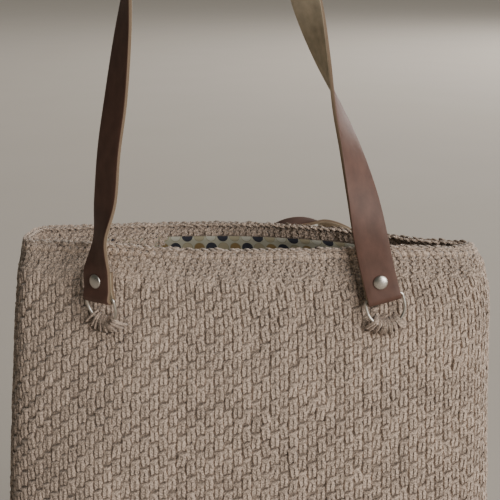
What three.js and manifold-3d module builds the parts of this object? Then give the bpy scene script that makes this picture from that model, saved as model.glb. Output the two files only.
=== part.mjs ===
// A crocheted shoulder bag of thick cotton cord with a cotton lining and two riveted leather straps on
// D-rings. Millimetres, +Z up. The front wall faces -Y. The origin is under the top of the front
// strap, where the bag hangs. Inside the group below, heights are counted from the rim: z is 0 there
// and negative down the walls.
import * as THREE from "three";
import { mergeVertices } from "three/addons/utils/BufferGeometryUtils.js";
import Module from "manifold-3d";

const wasm = await Module();
wasm.setup();

// Bag, measured over its crochet
const bagHeight = 300;
const mouthWidth = 303;
const mouthDepth = 84;
const bellyWidth = 341;
const bellyDepth = 92;
const baseRadius = 18;
const knitWall = 4;
const rimRounding = 1;
const rimLift = 2.5; // the rim's rise over the front rings, which carry the bag
const shoulderDrop = 18; // how quickly the rim's ends swell to the full width
const pinchDrop = 62; // how quickly the mouth's pinched plan opens into the body's
const cornerPower = 3.1; // 2 is an ellipse, and more is boxier

// Lining, a sewn cotton bag inside the crochet
const liningWall = 1;
const liningGap = 0.4;
const liningDrop = 9; // two rows of crochet stay bare above its hem

// D-rings, held in crocheted tabs
const wire = 2.1;
const ringInnerWidth = 23;
const ringInnerHeight = 17;
const ringCorner = 2;
const ringSpan = 186.8; // between the tabs of one wall
const ringMiddle = -3;
const ringDrop = 49; // the rim to the tabs
const tabWidth = 20;
const tabHeight = 8;
const tabCover = 2.2; // crochet outside the wire
const tabRounding = 2;

// Straps, folded round the rings' flat bars and riveted
const strapWidth = 22;
const strapThick = 2.5;
const flapLength = 17;
const rivetRise = 10.7; // the bar to the rivet
const hangHeight = 240; // the rim to the middle of the front strap's leather at its top
const strapReach = 45; // how far the front strap leans back from its rings to its top
const hangPlane = -2; // where its top lies between the walls
const strapFall = 294; // the rim to the lowest point of the rear strap

// Rivets
const capRadius = 4.7;
const capHeight = 1.8;
const backCapRadius = 4;
const backCapHeight = 1.3;
const shankRadius = 1.6;

// Clearances
const wireGap = 0.35;
const layerGap = 0.3;
const capGap = 0.3;
const shankGap = 0.35;
const tabGap = 0.35;
const wallGap = 0.6;
const rearStrapGap = 1.5; // between the rear strap's near edge and the belly

// How finely the surfaces are divided
const columns = 52;
const endCrowding = 0.62; // columns stand closer at the bag's two ends
const baseArcs = 3;
const wireSides = 6;
const arcSteps = 10; // round a ring's arc
const cornerSteps = 2;
const strapSteps = 2; // for each row of a strap's table
const foldSteps = 6;
const rivetSides = 12;

// The mouth seen from above, round from its left end by the front wall, the pinched right end and the
// rear wall. x and y are shares of half the mouth's width and depth, and lift is a share of the rim's
// lift.
const mouthPlan = [
  { x: -0.995, y: 0.1, lift: 0.6 },
  { x: -0.985, y: -0.44, lift: 0.8 },
  { x: -0.86, y: -0.6, lift: 0.9 },
  { x: -0.635, y: -0.79, lift: 1 },
  { x: -0.38, y: -0.93, lift: 0.3 },
  { x: -0.12, y: -0.985, lift: 0 },
  { x: 0.14, y: -0.96, lift: 0 },
  { x: 0.38, y: -0.91, lift: 0.1 },
  { x: 0.6, y: -0.87, lift: 0.5 },
  { x: 0.8, y: -0.81, lift: 0.3 },
  { x: 0.925, y: -0.67, lift: 0 },
  { x: 0.972, y: -0.47, lift: 0.1 },
  { x: 0.9, y: -0.31, lift: 0 },
  { x: 0.77, y: -0.17, lift: 0 },
  { x: 0.62, y: 0.14, lift: 0 },
  { x: 0.42, y: 0.58, lift: 0 },
  { x: 0.2, y: 0.84, lift: 0 },
  { x: -0.06, y: 0.99, lift: 0 },
  { x: -0.34, y: 0.97, lift: 0 },
  { x: -0.6, y: 0.86, lift: 0 },
  { x: -0.82, y: 0.73, lift: 0 },
  { x: -0.965, y: 0.58, lift: 0.2 },
];

// The body from base to rim. up is a share of the bag's height, the others of half the belly's width
// and depth.
const bodySections = [
  { up: 0, left: 0.955, right: 0.95, front: 0.9, back: 0.92 },
  { up: 0.12, left: 0.99, right: 0.985, front: 0.98, back: 0.96 },
  { up: 0.35, left: 1, right: 0.988, front: 1.06, back: 0.98 },
  { up: 0.63, left: 0.97, right: 0.965, front: 1.05, back: 0.97 },
  { up: 0.81, left: 0.946, right: 0.958, front: 1.01, back: 0.95 },
  { up: 1, left: 0.93, right: 0.958, front: 0.95, back: 0.93 },
];

// Shallow drag folds below the rings. Each runs between two points of a wall, given as shares of half
// the belly's width and of the bag's height below the rim; depth and reach are shares of the bag's
// height, and wall is -1 for the front and 1 for the rear.
const dragFolds = [
  { wall: -1, x: -0.6, down: 0.24, toX: -0.95, toDown: 0.62, depth: -0.006, reach: 0.06 },
  { wall: -1, x: -0.42, down: 0.2, toX: -0.72, toDown: 0.85, depth: 0.005, reach: 0.07 },
  { wall: -1, x: 0.62, down: 0.24, toX: 0.9, toDown: 0.6, depth: -0.005, reach: 0.07 },
  { wall: -1, x: -0.1, down: 0.3, toX: 0.25, toDown: 0.8, depth: 0.004, reach: 0.1 },
  { wall: 1, x: -0.5, down: 0.25, toX: -0.8, toDown: 0.7, depth: -0.005, reach: 0.08 },
  { wall: 1, x: 0.5, down: 0.2, toX: 0.7, toDown: 0.75, depth: -0.006, reach: 0.08 },
];

// Levels of the walls' divisions, as shares of the height from the rim down to the rounded base.
const wallLevels = [0, 0.014, 0.035, 0.065, 0.105, 0.16, 0.235, 0.33, 0.45, 0.58, 0.71, 0.83, 0.93, 1];

// The rings. side is -1 on the front wall and 1 on the rear, x is a share of half the span between the
// tabs. turn swings a ring about its tab like a door, lean tips it sideways and nod tips it away from
// the wall. swing turns the leather about the ring's bar. All four are in degrees. straight is how far
// above the bar the leather may first bend or twist, as a share of the flap's length.
const ringStations = [
  { name: "front_left", side: -1, x: -0.965, turn: 28, lean: 0, nod: 18, swing: -15, straight: 0.96 },
  { name: "front_right", side: -1, x: 1, turn: 0, lean: -13.5, nod: 0, swing: 0, straight: 1.2 },
  { name: "rear_right", side: 1, x: 1, turn: 10, lean: 40, nod: 8, swing: 0, straight: 1.3 },
  { name: "rear_left", side: 1, x: -1, turn: 0, lean: 0, nod: 166, swing: 0, straight: 1.1 },
];

// The front strap from the left ring over its top to the right ring. x is a share of half the span
// between the tabs, y of the strap's reach and z of the hanging height. turn is the strap's twist in
// degrees, 0 where its width lies front to back with the grain outside.
const frontStrapRows = [
  { x: -0.993, y: 0.96, z: 0.033, turn: 24 },
  { x: -0.953, y: 0.87, z: 0.138, turn: 42 },
  { x: -0.925, y: 0.76, z: 0.267, turn: 43 },
  { x: -0.876, y: 0.64, z: 0.4, turn: 42 },
  { x: -0.824, y: 0.51, z: 0.567, turn: 30 },
  { x: -0.782, y: 0.38, z: 0.708, turn: 12 },
  { x: -0.72, y: 0.2, z: 0.84, turn: 3 },
  { x: -0.56, y: 0.06, z: 0.95, turn: 0 },
  { x: -0.246, y: 0, z: 1, turn: 0 },
  { x: 0.09, y: 0.06, z: 0.94, turn: -4 },
  { x: 0.262, y: 0.16, z: 0.833, turn: -22 },
  { x: 0.348, y: 0.25, z: 0.742, turn: -42 },
  { x: 0.412, y: 0.33, z: 0.654, turn: -54 },
  { x: 0.52, y: 0.5, z: 0.508, turn: -22 },
  { x: 0.621, y: 0.61, z: 0.383, turn: 12 },
  { x: 0.714, y: 0.74, z: 0.271, turn: 36 },
  { x: 0.798, y: 0.87, z: 0.146, turn: 62 },
  { x: 0.854, y: 0.96, z: 0.042, turn: 84 },
];

// The rear strap from the right ring, over a low hump behind the rim, down behind the bag and up to
// the left ring. x is a share of half the span between the tabs, y runs from 0 at the rings' plane to
// 1 at the loop's, and z is a share of the strap's fall.
const rearStrapRows = [
  { x: 0.6, y: 0.9, z: -0.0175, turn: -160 },
  { x: 0.45, y: 1, z: -0.0115, turn: -180 },
  { x: 0.28, y: 1, z: -0.02, turn: -180 },
  { x: 0.16, y: 1, z: -0.05, turn: -180 },
  { x: 0.095, y: 1, z: -0.115, turn: -180 },
  { x: 0.085, y: 1, z: -0.22, turn: -180 },
  { x: 0.12, y: 1, z: -0.36, turn: -180 },
  { x: 0.18, y: 1, z: -0.52, turn: -180 },
  { x: 0.2, y: 1, z: -0.68, turn: -180 },
  { x: 0.13, y: 1, z: -0.84, turn: -180 },
  { x: -0.11, y: 1, z: -0.965, turn: -180 },
  { x: -0.43, y: 1, z: -1, turn: -180 },
  { x: -0.76, y: 1, z: -0.95, turn: -180 },
  { x: -0.97, y: 1, z: -0.82, turn: -183 },
  { x: -1.01, y: 1, z: -0.66, turn: -194 },
  { x: -1, y: 0.8, z: -0.5, turn: -224 },
  { x: -1, y: 0.25, z: -0.37, turn: -262 },
];

const ringHalf = (ringInnerWidth + wire) / 2;
const ringLength = ringInnerHeight + wire;
const foldRadius = wire / 2 + wireGap + strapThick / 2;
const layerOffset = (strapThick + layerGap) / 2;
const stackHalf = layerOffset + strapThick / 2 + capGap;
const bodyTurnings = 720;

// Between rows that lie evenly along a smooth line; at counts rows, and a closed line goes round.
function alongRows(rows, key, at, closed) {
  const row = Math.floor(at);
  const value = (i) => {
    const wrapped = closed ? (i + rows.length) % rows.length : Math.min(Math.max(i, 0), rows.length - 1);
    return rows[wrapped][key];
  };
  const [a, b, c, d] = [value(row - 1), value(row), value(row + 1), value(row + 2)];
  const t = at - row;
  return b + 0.5 * t * (c - a + t * (2 * a - 5 * b + 4 * c - d + t * (3 * (b - c) + d - a)));
}

// Between rows whose places are given by a column of their own.
function betweenRows(rows, by, key, at) {
  const last = rows.length - 1;
  const place = Math.min(Math.max(at, rows[0][by]), rows[last][by]);
  let i = 0;
  while (i < last - 1 && rows[i + 1][by] < place) {
    i += 1;
  }
  const slope = (j) => {
    const before = rows[Math.max(j - 1, 0)];
    const after = rows[Math.min(j + 1, last)];
    return (after[key] - before[key]) / (after[by] - before[by]);
  };
  const span = rows[i + 1][by] - rows[i][by];
  const t = (place - rows[i][by]) / span;
  const rise = t * t * (3 - 2 * t);
  const start = t * (1 - t) * (1 - t) * span * slope(i);
  const end = t * t * (t - 1) * span * slope(i + 1);
  return rows[i][key] * (1 - rise) + rows[i + 1][key] * rise + start + end;
}

// Turns a share of the way round a closed plan into the value that lies there.
function evenWalk(pointAt, count) {
  const lengths = [0];
  let before = pointAt(0);
  for (let i = 1; i <= count; i += 1) {
    const point = pointAt(i / count);
    lengths.push(lengths[i - 1] + point.distanceTo(before));
    before = point;
  }
  return (share) => {
    const goal = (share - Math.floor(share)) * lengths[count];
    let low = 0;
    let high = count;
    while (high - low > 1) {
      const middle = (low + high) >> 1;
      if (lengths[middle] <= goal) {
        low = middle;
      } else {
        high = middle;
      }
    }
    return (low + (goal - lengths[low]) / (lengths[high] - lengths[low])) / count;
  };
}

function mouthPoint(turnShare) {
  const at = turnShare * mouthPlan.length;
  return new THREE.Vector3(
    (alongRows(mouthPlan, "x", at, true) * mouthWidth) / 2,
    (alongRows(mouthPlan, "y", at, true) * mouthDepth) / 2,
    alongRows(mouthPlan, "lift", at, true) * rimLift,
  );
}

function bodyPoint(turnShare, up) {
  const angle = Math.PI * (1 + 2 * turnShare);
  const swell = (value) => Math.sign(value) * Math.abs(value) ** (2 / cornerPower);
  const [across, deep] = [swell(Math.cos(angle)), swell(Math.sin(angle))];
  const width = betweenRows(bodySections, "up", across < 0 ? "left" : "right", up);
  const depth = betweenRows(bodySections, "up", deep < 0 ? "front" : "back", up);
  return new THREE.Vector3((across * width * bellyWidth) / 2, (deep * depth * bellyDepth) / 2, 0);
}

const mouthWalk = evenWalk((share) => mouthPoint(share).setZ(0), bodyTurnings);
const bodyWalk = evenWalk((share) => bodyPoint(share, 0.5), bodyTurnings);

// How far a wall stands out at a point because of its drag folds.
function foldDepth(x, y, z) {
  let depth = 0;
  for (const fold of dragFolds) {
    const share = Math.max(fold.wall * y, 0) / (bellyDepth / 2);
    if (share > 0) {
      const start = new THREE.Vector2((fold.x * bellyWidth) / 2, -fold.down * bagHeight);
      const way = new THREE.Vector2((fold.toX * bellyWidth) / 2, -fold.toDown * bagHeight).sub(start);
      const here = new THREE.Vector2(x, z).sub(start);
      const along = Math.min(Math.max(here.dot(way) / way.lengthSq(), 0), 1);
      const off = here.distanceTo(way.multiplyScalar(along)) / (fold.reach * bagHeight);
      depth += share * fold.depth * bagHeight * Math.exp(-off * off);
    }
  }
  return depth;
}

// A point of the crochet's outer face: round is the share of the way round from the left end by the
// front, and level the height below the rim.
function facePoint(round, level) {
  const up = 1 + level / bagHeight;
  const mouth = mouthPoint(mouthWalk(round));
  const body = bodyPoint(bodyWalk(round), up);
  const ends = Math.exp(level / shoulderDrop);
  const pinch = Math.exp(level / pinchDrop);
  return new THREE.Vector3(
    THREE.MathUtils.lerp(body.x, mouth.x, ends),
    THREE.MathUtils.lerp(body.y, mouth.y, pinch),
    level + mouth.z * pinch * up,
  );
}

// The same face moved inwards by inset, square to the plan's outline.
function wallPoint(round, level, inset) {
  const step = 1 / (12 * columns);
  const point = facePoint(round, level);
  const way = facePoint(round + step, level).sub(facePoint(round - step, level));
  const outward = new THREE.Vector3(way.y, -way.x, 0).normalize();
  return point.addScaledVector(outward, foldDepth(point.x, point.y, point.z) - inset);
}

// The columns' places round the bag, closer together at its two ends.
const rounds = Array.from({ length: columns }, (_, i) => {
  const share = i / columns;
  return share - (endCrowding * Math.sin(4 * Math.PI * share)) / (4 * Math.PI);
});

function ringAt(level, inset) {
  return rounds.map((round) => wallPoint(round, level, inset));
}

// One face of a shell that lies inset inside the crochet's outer face, from its rounded base up to top.
function shellFace(inset, top) {
  const foot = baseRadius - bagHeight;
  const rings = [];
  for (let i = baseArcs; i > 0; i -= 1) {
    const angle = (Math.PI / 2) * (i / baseArcs);
    const level = foot - (baseRadius - inset) * Math.sin(angle);
    rings.push(ringAt(level, baseRadius - (baseRadius - inset) * Math.cos(angle)));
  }
  const levels = wallLevels.map((share) => foot * share).filter((level) => level < top - rimRounding);
  levels.reverse().forEach((level) => rings.push(ringAt(level, inset)));
  rings.push(ringAt(top, inset));
  return rings;
}

// A closed surface through rings of points. Rings run counterclockwise seen from the last one towards
// the first. Each quad is split along its shorter diagonal. The end rings are capped, unless the rings
// close on themselves.
function skin(rings, closed) {
  const side = rings[0].length;
  const points = rings.flat();
  const positions = points.flatMap((point) => point.toArray());
  const faces = [];
  const bands = closed ? rings.length : rings.length - 1;
  for (let i = 0; i < bands; i += 1) {
    for (let j = 0; j < side; j += 1) {
      const [here, next] = [i * side, ((i + 1) % rings.length) * side];
      const turn = (j + 1) % side;
      const corners = [here + j, here + turn, next + turn, next + j];
      const [a, b, c, d] = corners.map((corner) => points[corner]);
      if (a.distanceTo(c) <= b.distanceTo(d)) {
        faces.push(corners[0], corners[1], corners[2], corners[0], corners[2], corners[3]);
      } else {
        faces.push(corners[0], corners[1], corners[3], corners[1], corners[2], corners[3]);
      }
    }
  }
  if (!closed) {
    for (const last of [false, true]) {
      const ring = last ? rings[rings.length - 1] : rings[0];
      const middle = ring.reduce((sum, point) => sum.add(point), new THREE.Vector3()).divideScalar(side);
      const hub = positions.length / 3;
      const start = last ? (rings.length - 1) * side : 0;
      positions.push(...middle.toArray());
      for (let j = 0; j < side; j += 1) {
        const turn = (j + 1) % side;
        faces.push(hub, start + (last ? j : turn), start + (last ? turn : j));
      }
    }
  }
  const geometry = new THREE.BufferGeometry();
  geometry.setAttribute("position", new THREE.Float32BufferAttribute(positions, 3));
  geometry.setIndex(faces);
  geometry.computeVertexNormals();
  return geometry;
}

// A shell between two insets: the outer face up, over its edge, and the inner face down.
function shell(outerInset, innerInset, top) {
  const outer = shellFace(outerInset, top - rimRounding);
  const inner = shellFace(innerInset, top - rimRounding).reverse();
  return skin([...outer, ringAt(top, (outerInset + innerInset) / 2), ...inner], false);
}

function solidOf(geometry) {
  const bare = new THREE.BufferGeometry();
  bare.setAttribute("position", geometry.getAttribute("position").clone());
  if (geometry.index) {
    bare.setIndex(geometry.index.clone());
  }
  const merged = mergeVertices(bare, 1e-4);
  return new wasm.Manifold(
    new wasm.Mesh({
      numProp: 3,
      vertProperties: new Float32Array(merged.getAttribute("position").array),
      triVerts: new Uint32Array(merged.index.array),
    }),
  );
}

function geometryOf(solid) {
  const mesh = solid.getMesh();
  const geometry = new THREE.BufferGeometry();
  geometry.setAttribute("position", new THREE.BufferAttribute(new Float32Array(mesh.vertProperties), 3));
  geometry.setIndex(new THREE.BufferAttribute(new Uint32Array(mesh.triVerts), 1));
  geometry.computeVertexNormals();
  return geometry;
}

function cutFrom(geometry, tools) {
  return geometryOf(tools.reduce((left, tool) => left.subtract(solidOf(tool)), solidOf(geometry)));
}

// The frame of a wall at a place: X along the wall, Y into the bag and Z up the wall.
function wallFrame(side, x, level) {
  const [low, high] = side < 0 ? [0.02, 0.48] : [0.52, 0.98];
  let best = low;
  for (let i = 0; i <= bodyTurnings; i += 1) {
    const round = low + ((high - low) * i) / bodyTurnings;
    if (Math.abs(wallPoint(round, level, 0).x - x) < Math.abs(wallPoint(best, level, 0).x - x)) {
      best = round;
    }
  }
  const step = 0.01;
  const along = wallPoint(best + step, level, 0).sub(wallPoint(best - step, level, 0)).normalize();
  const rise = wallPoint(best, level + 8, 0).sub(wallPoint(best, level - 8, 0)).normalize();
  const inwards = rise.clone().cross(along).normalize();
  const frame = new THREE.Matrix4().makeBasis(along, inwards, along.clone().cross(inwards));
  return frame.setPosition(wallPoint(best, level, 0));
}

// How far the foot of a ring's arc lies from the wall: the near side of a turned ring clears the wall,
// and so do the rivet's caps of a flat one.
function ringAway(station) {
  const [turn, nod] = [station.turn, station.nod].map(THREE.MathUtils.degToRad);
  const reaches = ringOutline().map((point) => {
    const rise = point.y + ringLength;
    return Math.abs(point.x) * Math.sin(turn) - rise * Math.sin(nod) * Math.cos(turn) + wire / 2;
  });
  return Math.max(...reaches, stackHalf + capHeight) + wallGap;
}

// From a ring's own frame, with its flat bar along X through the origin and its arc below, to the bag.
function ringFrame(station, wall) {
  return wall
    .clone()
    .multiply(new THREE.Matrix4().makeTranslation(0, -ringAway(station), 0))
    .multiply(new THREE.Matrix4().makeRotationZ(THREE.MathUtils.degToRad(-station.turn)))
    .multiply(new THREE.Matrix4().makeRotationY(THREE.MathUtils.degToRad(station.lean)))
    .multiply(new THREE.Matrix4().makeRotationX(THREE.MathUtils.degToRad(station.nod)))
    .multiply(new THREE.Matrix4().makeTranslation(0, 0, ringLength));
}

// The middle line of a D-ring's wire in its own frame, counterclockwise from the bar's left end.
function ringOutline() {
  const arc = (x, z, reach, from, steps, angle) =>
    Array.from({ length: steps + 1 }, (_, i) => {
      const at = from + (angle * i) / steps;
      return new THREE.Vector2(x + reach * Math.cos(at), z + reach * Math.sin(at));
    });
  const [quarter, side] = [Math.PI / 2, ringHalf - ringCorner];
  return [
    ...arc(-side, -ringCorner, ringCorner, quarter, cornerSteps, quarter),
    ...arc(0, ringHalf - ringLength, ringHalf, 2 * quarter, arcSteps, 2 * quarter),
    ...arc(side, -ringCorner, ringCorner, 0, cornerSteps, quarter),
  ];
}

// A D-ring of round wire in its own frame.
function dRing(radius) {
  const points = ringOutline();
  const rings = points.map((point, i) => {
    const before = points[(i + points.length - 1) % points.length];
    const way = points[(i + 1) % points.length].clone().sub(before).normalize();
    return Array.from({ length: wireSides }, (_, j) => {
      const angle = (2 * Math.PI * (j + 0.5)) / wireSides;
      const out = radius * Math.cos(angle);
      return new THREE.Vector3(point.x + out * way.y, radius * Math.sin(angle), point.y - out * way.x);
    });
  });
  return skin(rings, true);
}

// A crocheted tab that wraps a ring's arc, in the frame of the wall under it.
function tabBlock(away) {
  const shape = new THREE.Shape();
  const depth = away + wire / 2 + tabCover - tabGap;
  const [half, corner] = [tabHeight / 2, tabRounding];
  shape.moveTo(0, -half);
  shape.lineTo(depth - corner, -half);
  shape.quadraticCurveTo(depth, -half, depth, corner - half);
  shape.lineTo(depth, half - corner);
  shape.quadraticCurveTo(depth, half, depth - corner, half);
  shape.lineTo(0, half);
  shape.closePath();
  const block = new THREE.ExtrudeGeometry(shape, { depth: tabWidth, bevelEnabled: false, curveSegments: 3 });
  const outwards = new THREE.Vector3(0, -1, 0);
  const upwards = new THREE.Vector3(0, 0, 1);
  const turned = new THREE.Matrix4().makeBasis(outwards, upwards, outwards.clone().cross(upwards));
  return block.translate(tabGap, 0, -tabWidth / 2).applyMatrix4(turned);
}

function rivet() {
  const top = stackHalf + capHeight;
  const profile = [
    [0, -stackHalf - backCapHeight],
    [backCapRadius * 0.8, -stackHalf - backCapHeight],
    [backCapRadius, -stackHalf - backCapHeight * 0.5],
    [backCapRadius, -stackHalf],
    [shankRadius, -stackHalf],
    [shankRadius, stackHalf],
    [capRadius, stackHalf],
    [capRadius, stackHalf + capHeight * 0.35],
    [capRadius * 0.8, top - capHeight * 0.22],
    [capRadius * 0.45, top - capHeight * 0.05],
    [0, top],
  ];
  const lathe = new THREE.LatheGeometry(profile.map(([r, y]) => new THREE.Vector2(r, y)), rivetSides);
  return lathe.rotateX(Math.PI).translate(0, 0, rivetRise);
}

// The section of a strap at a place: its width along across, and its grain side where across meets the
// way on.
function strapSection(middle, across, way) {
  const wide = across.clone().multiplyScalar(strapWidth / 2);
  const grain = across.clone().cross(way).setLength(strapThick / 2);
  return [
    middle.clone().sub(wide).sub(grain),
    middle.clone().sub(wide).add(grain),
    middle.clone().add(wide).add(grain),
    middle.clone().add(wide).sub(grain),
  ];
}

// The middle line of the leather where it folds round a ring's bar, from the flap's end to the rivet
// in front.
function foldLine(frame) {
  const flat = rivetRise - capRadius - 1;
  const line = [
    [layerOffset, flapLength],
    [layerOffset, rivetRise],
    [layerOffset, flat],
    [(layerOffset + foldRadius) / 2, flat / 2],
  ];
  for (let i = 0; i <= foldSteps; i += 1) {
    const angle = (Math.PI * i) / foldSteps;
    line.push([foldRadius * Math.cos(angle), -foldRadius * Math.sin(angle)]);
  }
  line.push([-(layerOffset + foldRadius) / 2, flat / 2], [-layerOffset, flat], [-layerOffset, rivetRise]);
  return line.map(([y, z]) => new THREE.Vector3(0, y, z).applyMatrix4(frame));
}

// The direction across a strap that is twisted by turn degrees from lying front to back.
function acrossAt(way, turn) {
  const frontwards = new THREE.Vector3(0, -1, 0).addScaledVector(way, way.y).normalize();
  return frontwards.applyAxisAngle(way, THREE.MathUtils.degToRad(turn));
}

// The twist that gives a direction across, within half a turn of the twist beside it.
function turnOf(way, across, beside) {
  const frontwards = acrossAt(way, 0);
  const sine = frontwards.clone().cross(across).dot(way);
  const turn = THREE.MathUtils.radToDeg(Math.atan2(sine, frontwards.dot(across)));
  return turn + 360 * Math.round((beside - turn) / 360);
}

// A strap folded round two rings, with the free leather between them led by the rows of its table.
// Each end has the leather's frame at its ring and the height above the bar where the leather may
// first bend.
function strap(rows, placeOf, start, end) {
  const [startFrame, endFrame] = [start.frame, end.frame];
  const [startWay, endWay] = [new THREE.Vector3(0, 0, 1), new THREE.Vector3(0, 0, -1)];
  const [startAcross, endAcross] = [new THREE.Vector3(1, 0, 0), new THREE.Vector3(-1, 0, 0)];
  [startWay, startAcross].forEach((direction) => direction.transformDirection(startFrame));
  [endWay, endAcross].forEach((direction) => direction.transformDirection(endFrame));
  const knotAt = (point, turn) => ({ x: point.x, y: point.y, z: point.z, turn });
  const [startFold, endFold] = [foldLine(startFrame), foldLine(endFrame).reverse()];
  const [startTop, endTop] = [start, end].map(({ frame, straight }) =>
    new THREE.Vector3(0, -layerOffset, straight).applyMatrix4(frame),
  );
  const startTurn = turnOf(startWay, startAcross, rows[0].turn);
  const endTurn = turnOf(endWay, endAcross, rows.at(-1).turn);
  const knots = [
    knotAt(startFold.at(-1), startTurn),
    knotAt(startTop, startTurn),
    ...rows.map((row) => knotAt(placeOf(row), row.turn)),
    knotAt(endTop, endTurn),
    knotAt(endFold[0], endTurn),
  ];
  const free = [];
  for (let i = strapSteps; i <= (knots.length - 2) * strapSteps; i += 1) {
    const at = i / strapSteps;
    const [x, y, z, turn] = ["x", "y", "z", "turn"].map((key) => alongRows(knots, key, at, false));
    free.push({ middle: new THREE.Vector3(x, y, z), turn });
  }
  const line = [
    ...startFold.map((middle) => ({ middle, across: startAcross })),
    ...free,
    ...endFold.map((middle) => ({ middle, across: endAcross })),
  ];
  const sections = line.map(({ middle, across, turn }, i) => {
    const [before, after] = [line[Math.max(i - 1, 0)], line[Math.min(i + 1, line.length - 1)]];
    const way = after.middle.clone().sub(before.middle).normalize();
    return strapSection(middle, across ?? acrossAt(way, turn), way);
  });
  const holes = [startFrame, endFrame].map((frame) => {
    const bore = shankRadius + shankGap;
    return new THREE.CylinderGeometry(bore, bore, 4 * stackHalf, rivetSides)
      .translate(0, 0, rivetRise)
      .applyMatrix4(frame);
  });
  return cutFrom(skin(sections, false), holes);
}

const crochetCotton = new THREE.MeshStandardMaterial({ color: 0xab9f8f, roughness: 0.95 });
const liningCotton = new THREE.MeshStandardMaterial({ color: 0xb9b3a4, roughness: 0.9 });
const leather = new THREE.MeshStandardMaterial({ color: 0x6b4a3c, roughness: 0.55 });
const nickel = new THREE.MeshStandardMaterial({ color: 0xb8b2a8, roughness: 0.3, metalness: 1 });

const bag = new THREE.Group();
function add(name, geometry, material) {
  const mesh = new THREE.Mesh(geometry, material);
  mesh.name = name;
  bag.add(mesh);
}

add("bag_body", shell(0, knitWall, 0), crochetCotton);
const liningInset = knitWall + liningGap;
add("lining", shell(liningInset, liningInset + liningWall, -liningDrop), liningCotton);

const frames = new Map();
for (const station of ringStations) {
  const wall = wallFrame(station.side, ringMiddle + (station.x * ringSpan) / 2, -ringDrop);
  const frame = ringFrame(station, wall);
  const swing = new THREE.Matrix4().makeRotationX(THREE.MathUtils.degToRad(station.swing));
  const leatherFrame = frame.clone().multiply(swing);
  frames.set(station.name, { frame: leatherFrame, straight: station.straight * flapLength });
  const passage = dRing(wire / 2 + wireGap).applyMatrix4(frame);
  const block = tabBlock(ringAway(station)).applyMatrix4(wall);
  add(`ring_tab_${station.name}`, cutFrom(block, [passage]), crochetCotton);
  add(`d_ring_${station.name}`, dRing(wire / 2).applyMatrix4(frame), nickel);
  add(`rivet_${station.name}`, rivet().applyMatrix4(leatherFrame), nickel);
}

const halfSpan = ringSpan / 2;
const frontPlace = (row) =>
  new THREE.Vector3(ringMiddle + row.x * halfSpan, hangPlane - row.y * strapReach, row.z * hangHeight);
add(
  "strap_front",
  strap(frontStrapRows, frontPlace, frames.get("front_left"), frames.get("front_right")),
  leather,
);

const rearRingPlane = new THREE.Vector3().setFromMatrixPosition(frames.get("rear_left").frame).y;
const rearLoopPlane = (bellyDepth / 2) * 1.01 + strapWidth / 2 + rearStrapGap;
const rearPlace = (row) =>
  new THREE.Vector3(
    ringMiddle + row.x * halfSpan,
    THREE.MathUtils.lerp(rearRingPlane, rearLoopPlane, row.y),
    row.z * strapFall,
  );
add("strap_rear", strap(rearStrapRows, rearPlace, frames.get("rear_right"), frames.get("rear_left")), leather);

// The group's origin is under the front strap's highest point.
const top = frontPlace(frontStrapRows.find((row) => row.z === 1));
bag.position.set(-top.x, -top.y, strapThick / 2 - top.z);

const part = new THREE.Group();
part.add(bag);

export default part;
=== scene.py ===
"""A crocheted shoulder bag: moss-stitch walls, dotted cotton lining, riveted leather straps on D-rings."""
import math

import bpy
import numpy as np
from bpy.props import FloatProperty, FloatVectorProperty, IntProperty, PointerProperty
from mathutils import Matrix, Vector


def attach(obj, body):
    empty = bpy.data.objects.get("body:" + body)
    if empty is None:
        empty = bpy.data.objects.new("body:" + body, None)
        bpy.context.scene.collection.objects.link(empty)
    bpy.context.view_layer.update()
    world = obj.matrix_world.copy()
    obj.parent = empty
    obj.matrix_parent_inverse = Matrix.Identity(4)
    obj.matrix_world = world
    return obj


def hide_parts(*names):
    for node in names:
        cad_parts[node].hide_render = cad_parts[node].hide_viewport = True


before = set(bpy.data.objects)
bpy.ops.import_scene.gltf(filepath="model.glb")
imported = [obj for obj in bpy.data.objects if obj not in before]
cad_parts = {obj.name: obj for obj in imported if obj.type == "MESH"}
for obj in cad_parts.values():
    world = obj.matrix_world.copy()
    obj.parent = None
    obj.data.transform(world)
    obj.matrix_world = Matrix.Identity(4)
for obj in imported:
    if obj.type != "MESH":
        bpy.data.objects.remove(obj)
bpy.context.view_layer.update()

bl_info = {
    "name": "Crocheted Shoulder Bag",
    "version": (1, 0, 0),
    "blender": (4, 5, 0),
    "location": "View3D > Sidebar > Bag",
    "description": "Models a crocheted shoulder bag with a lining and leather straps",
    "category": "Add Mesh",
}

# Lengths are in millimetres in the bag's own frame, with z 0 at the rim, until put() moves them to the
# row's frame.
MM = 0.001
BAG_HEIGHT = 300
MOUTH_WIDTH = 303
MOUTH_DEPTH = 84
BELLY_WIDTH = 341
BELLY_DEPTH = 92
BASE_RADIUS = 18
WALL = 4
RIM_LIFT = 2.5
SHOULDER_DROP = 18
PINCH_DROP = 62
CORNER_POWER = 3.1
LINING_GAP = 0.4
LINING_DROP = 9

WIRE = 2.1
RING_INNER_WIDTH = 23
RING_INNER_HEIGHT = 17
RING_CORNER = 2
RING_SPAN = 186.8
RING_MIDDLE = -3
RING_DROP = 49

STRAP_WIDTH = 22
STRAP_THICK = 2.5
FLAP_LENGTH = 17
RIVET_RISE = 10.7
HANG_HEIGHT = 240
STRAP_REACH = 45
HANG_PLANE = -2
STRAP_FALL = 294
REAR_STRAP_GAP = 1.5

CAP_RADIUS = 4.7
CAP_HEIGHT = 1.8
BACK_CAP_RADIUS = 4
BACK_CAP_HEIGHT = 1.3
SHANK_RADIUS = 1.6

WIRE_GAP = 0.35
LAYER_GAP = 0.3
CAP_GAP = 0.3
WALL_GAP = 0.6

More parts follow.
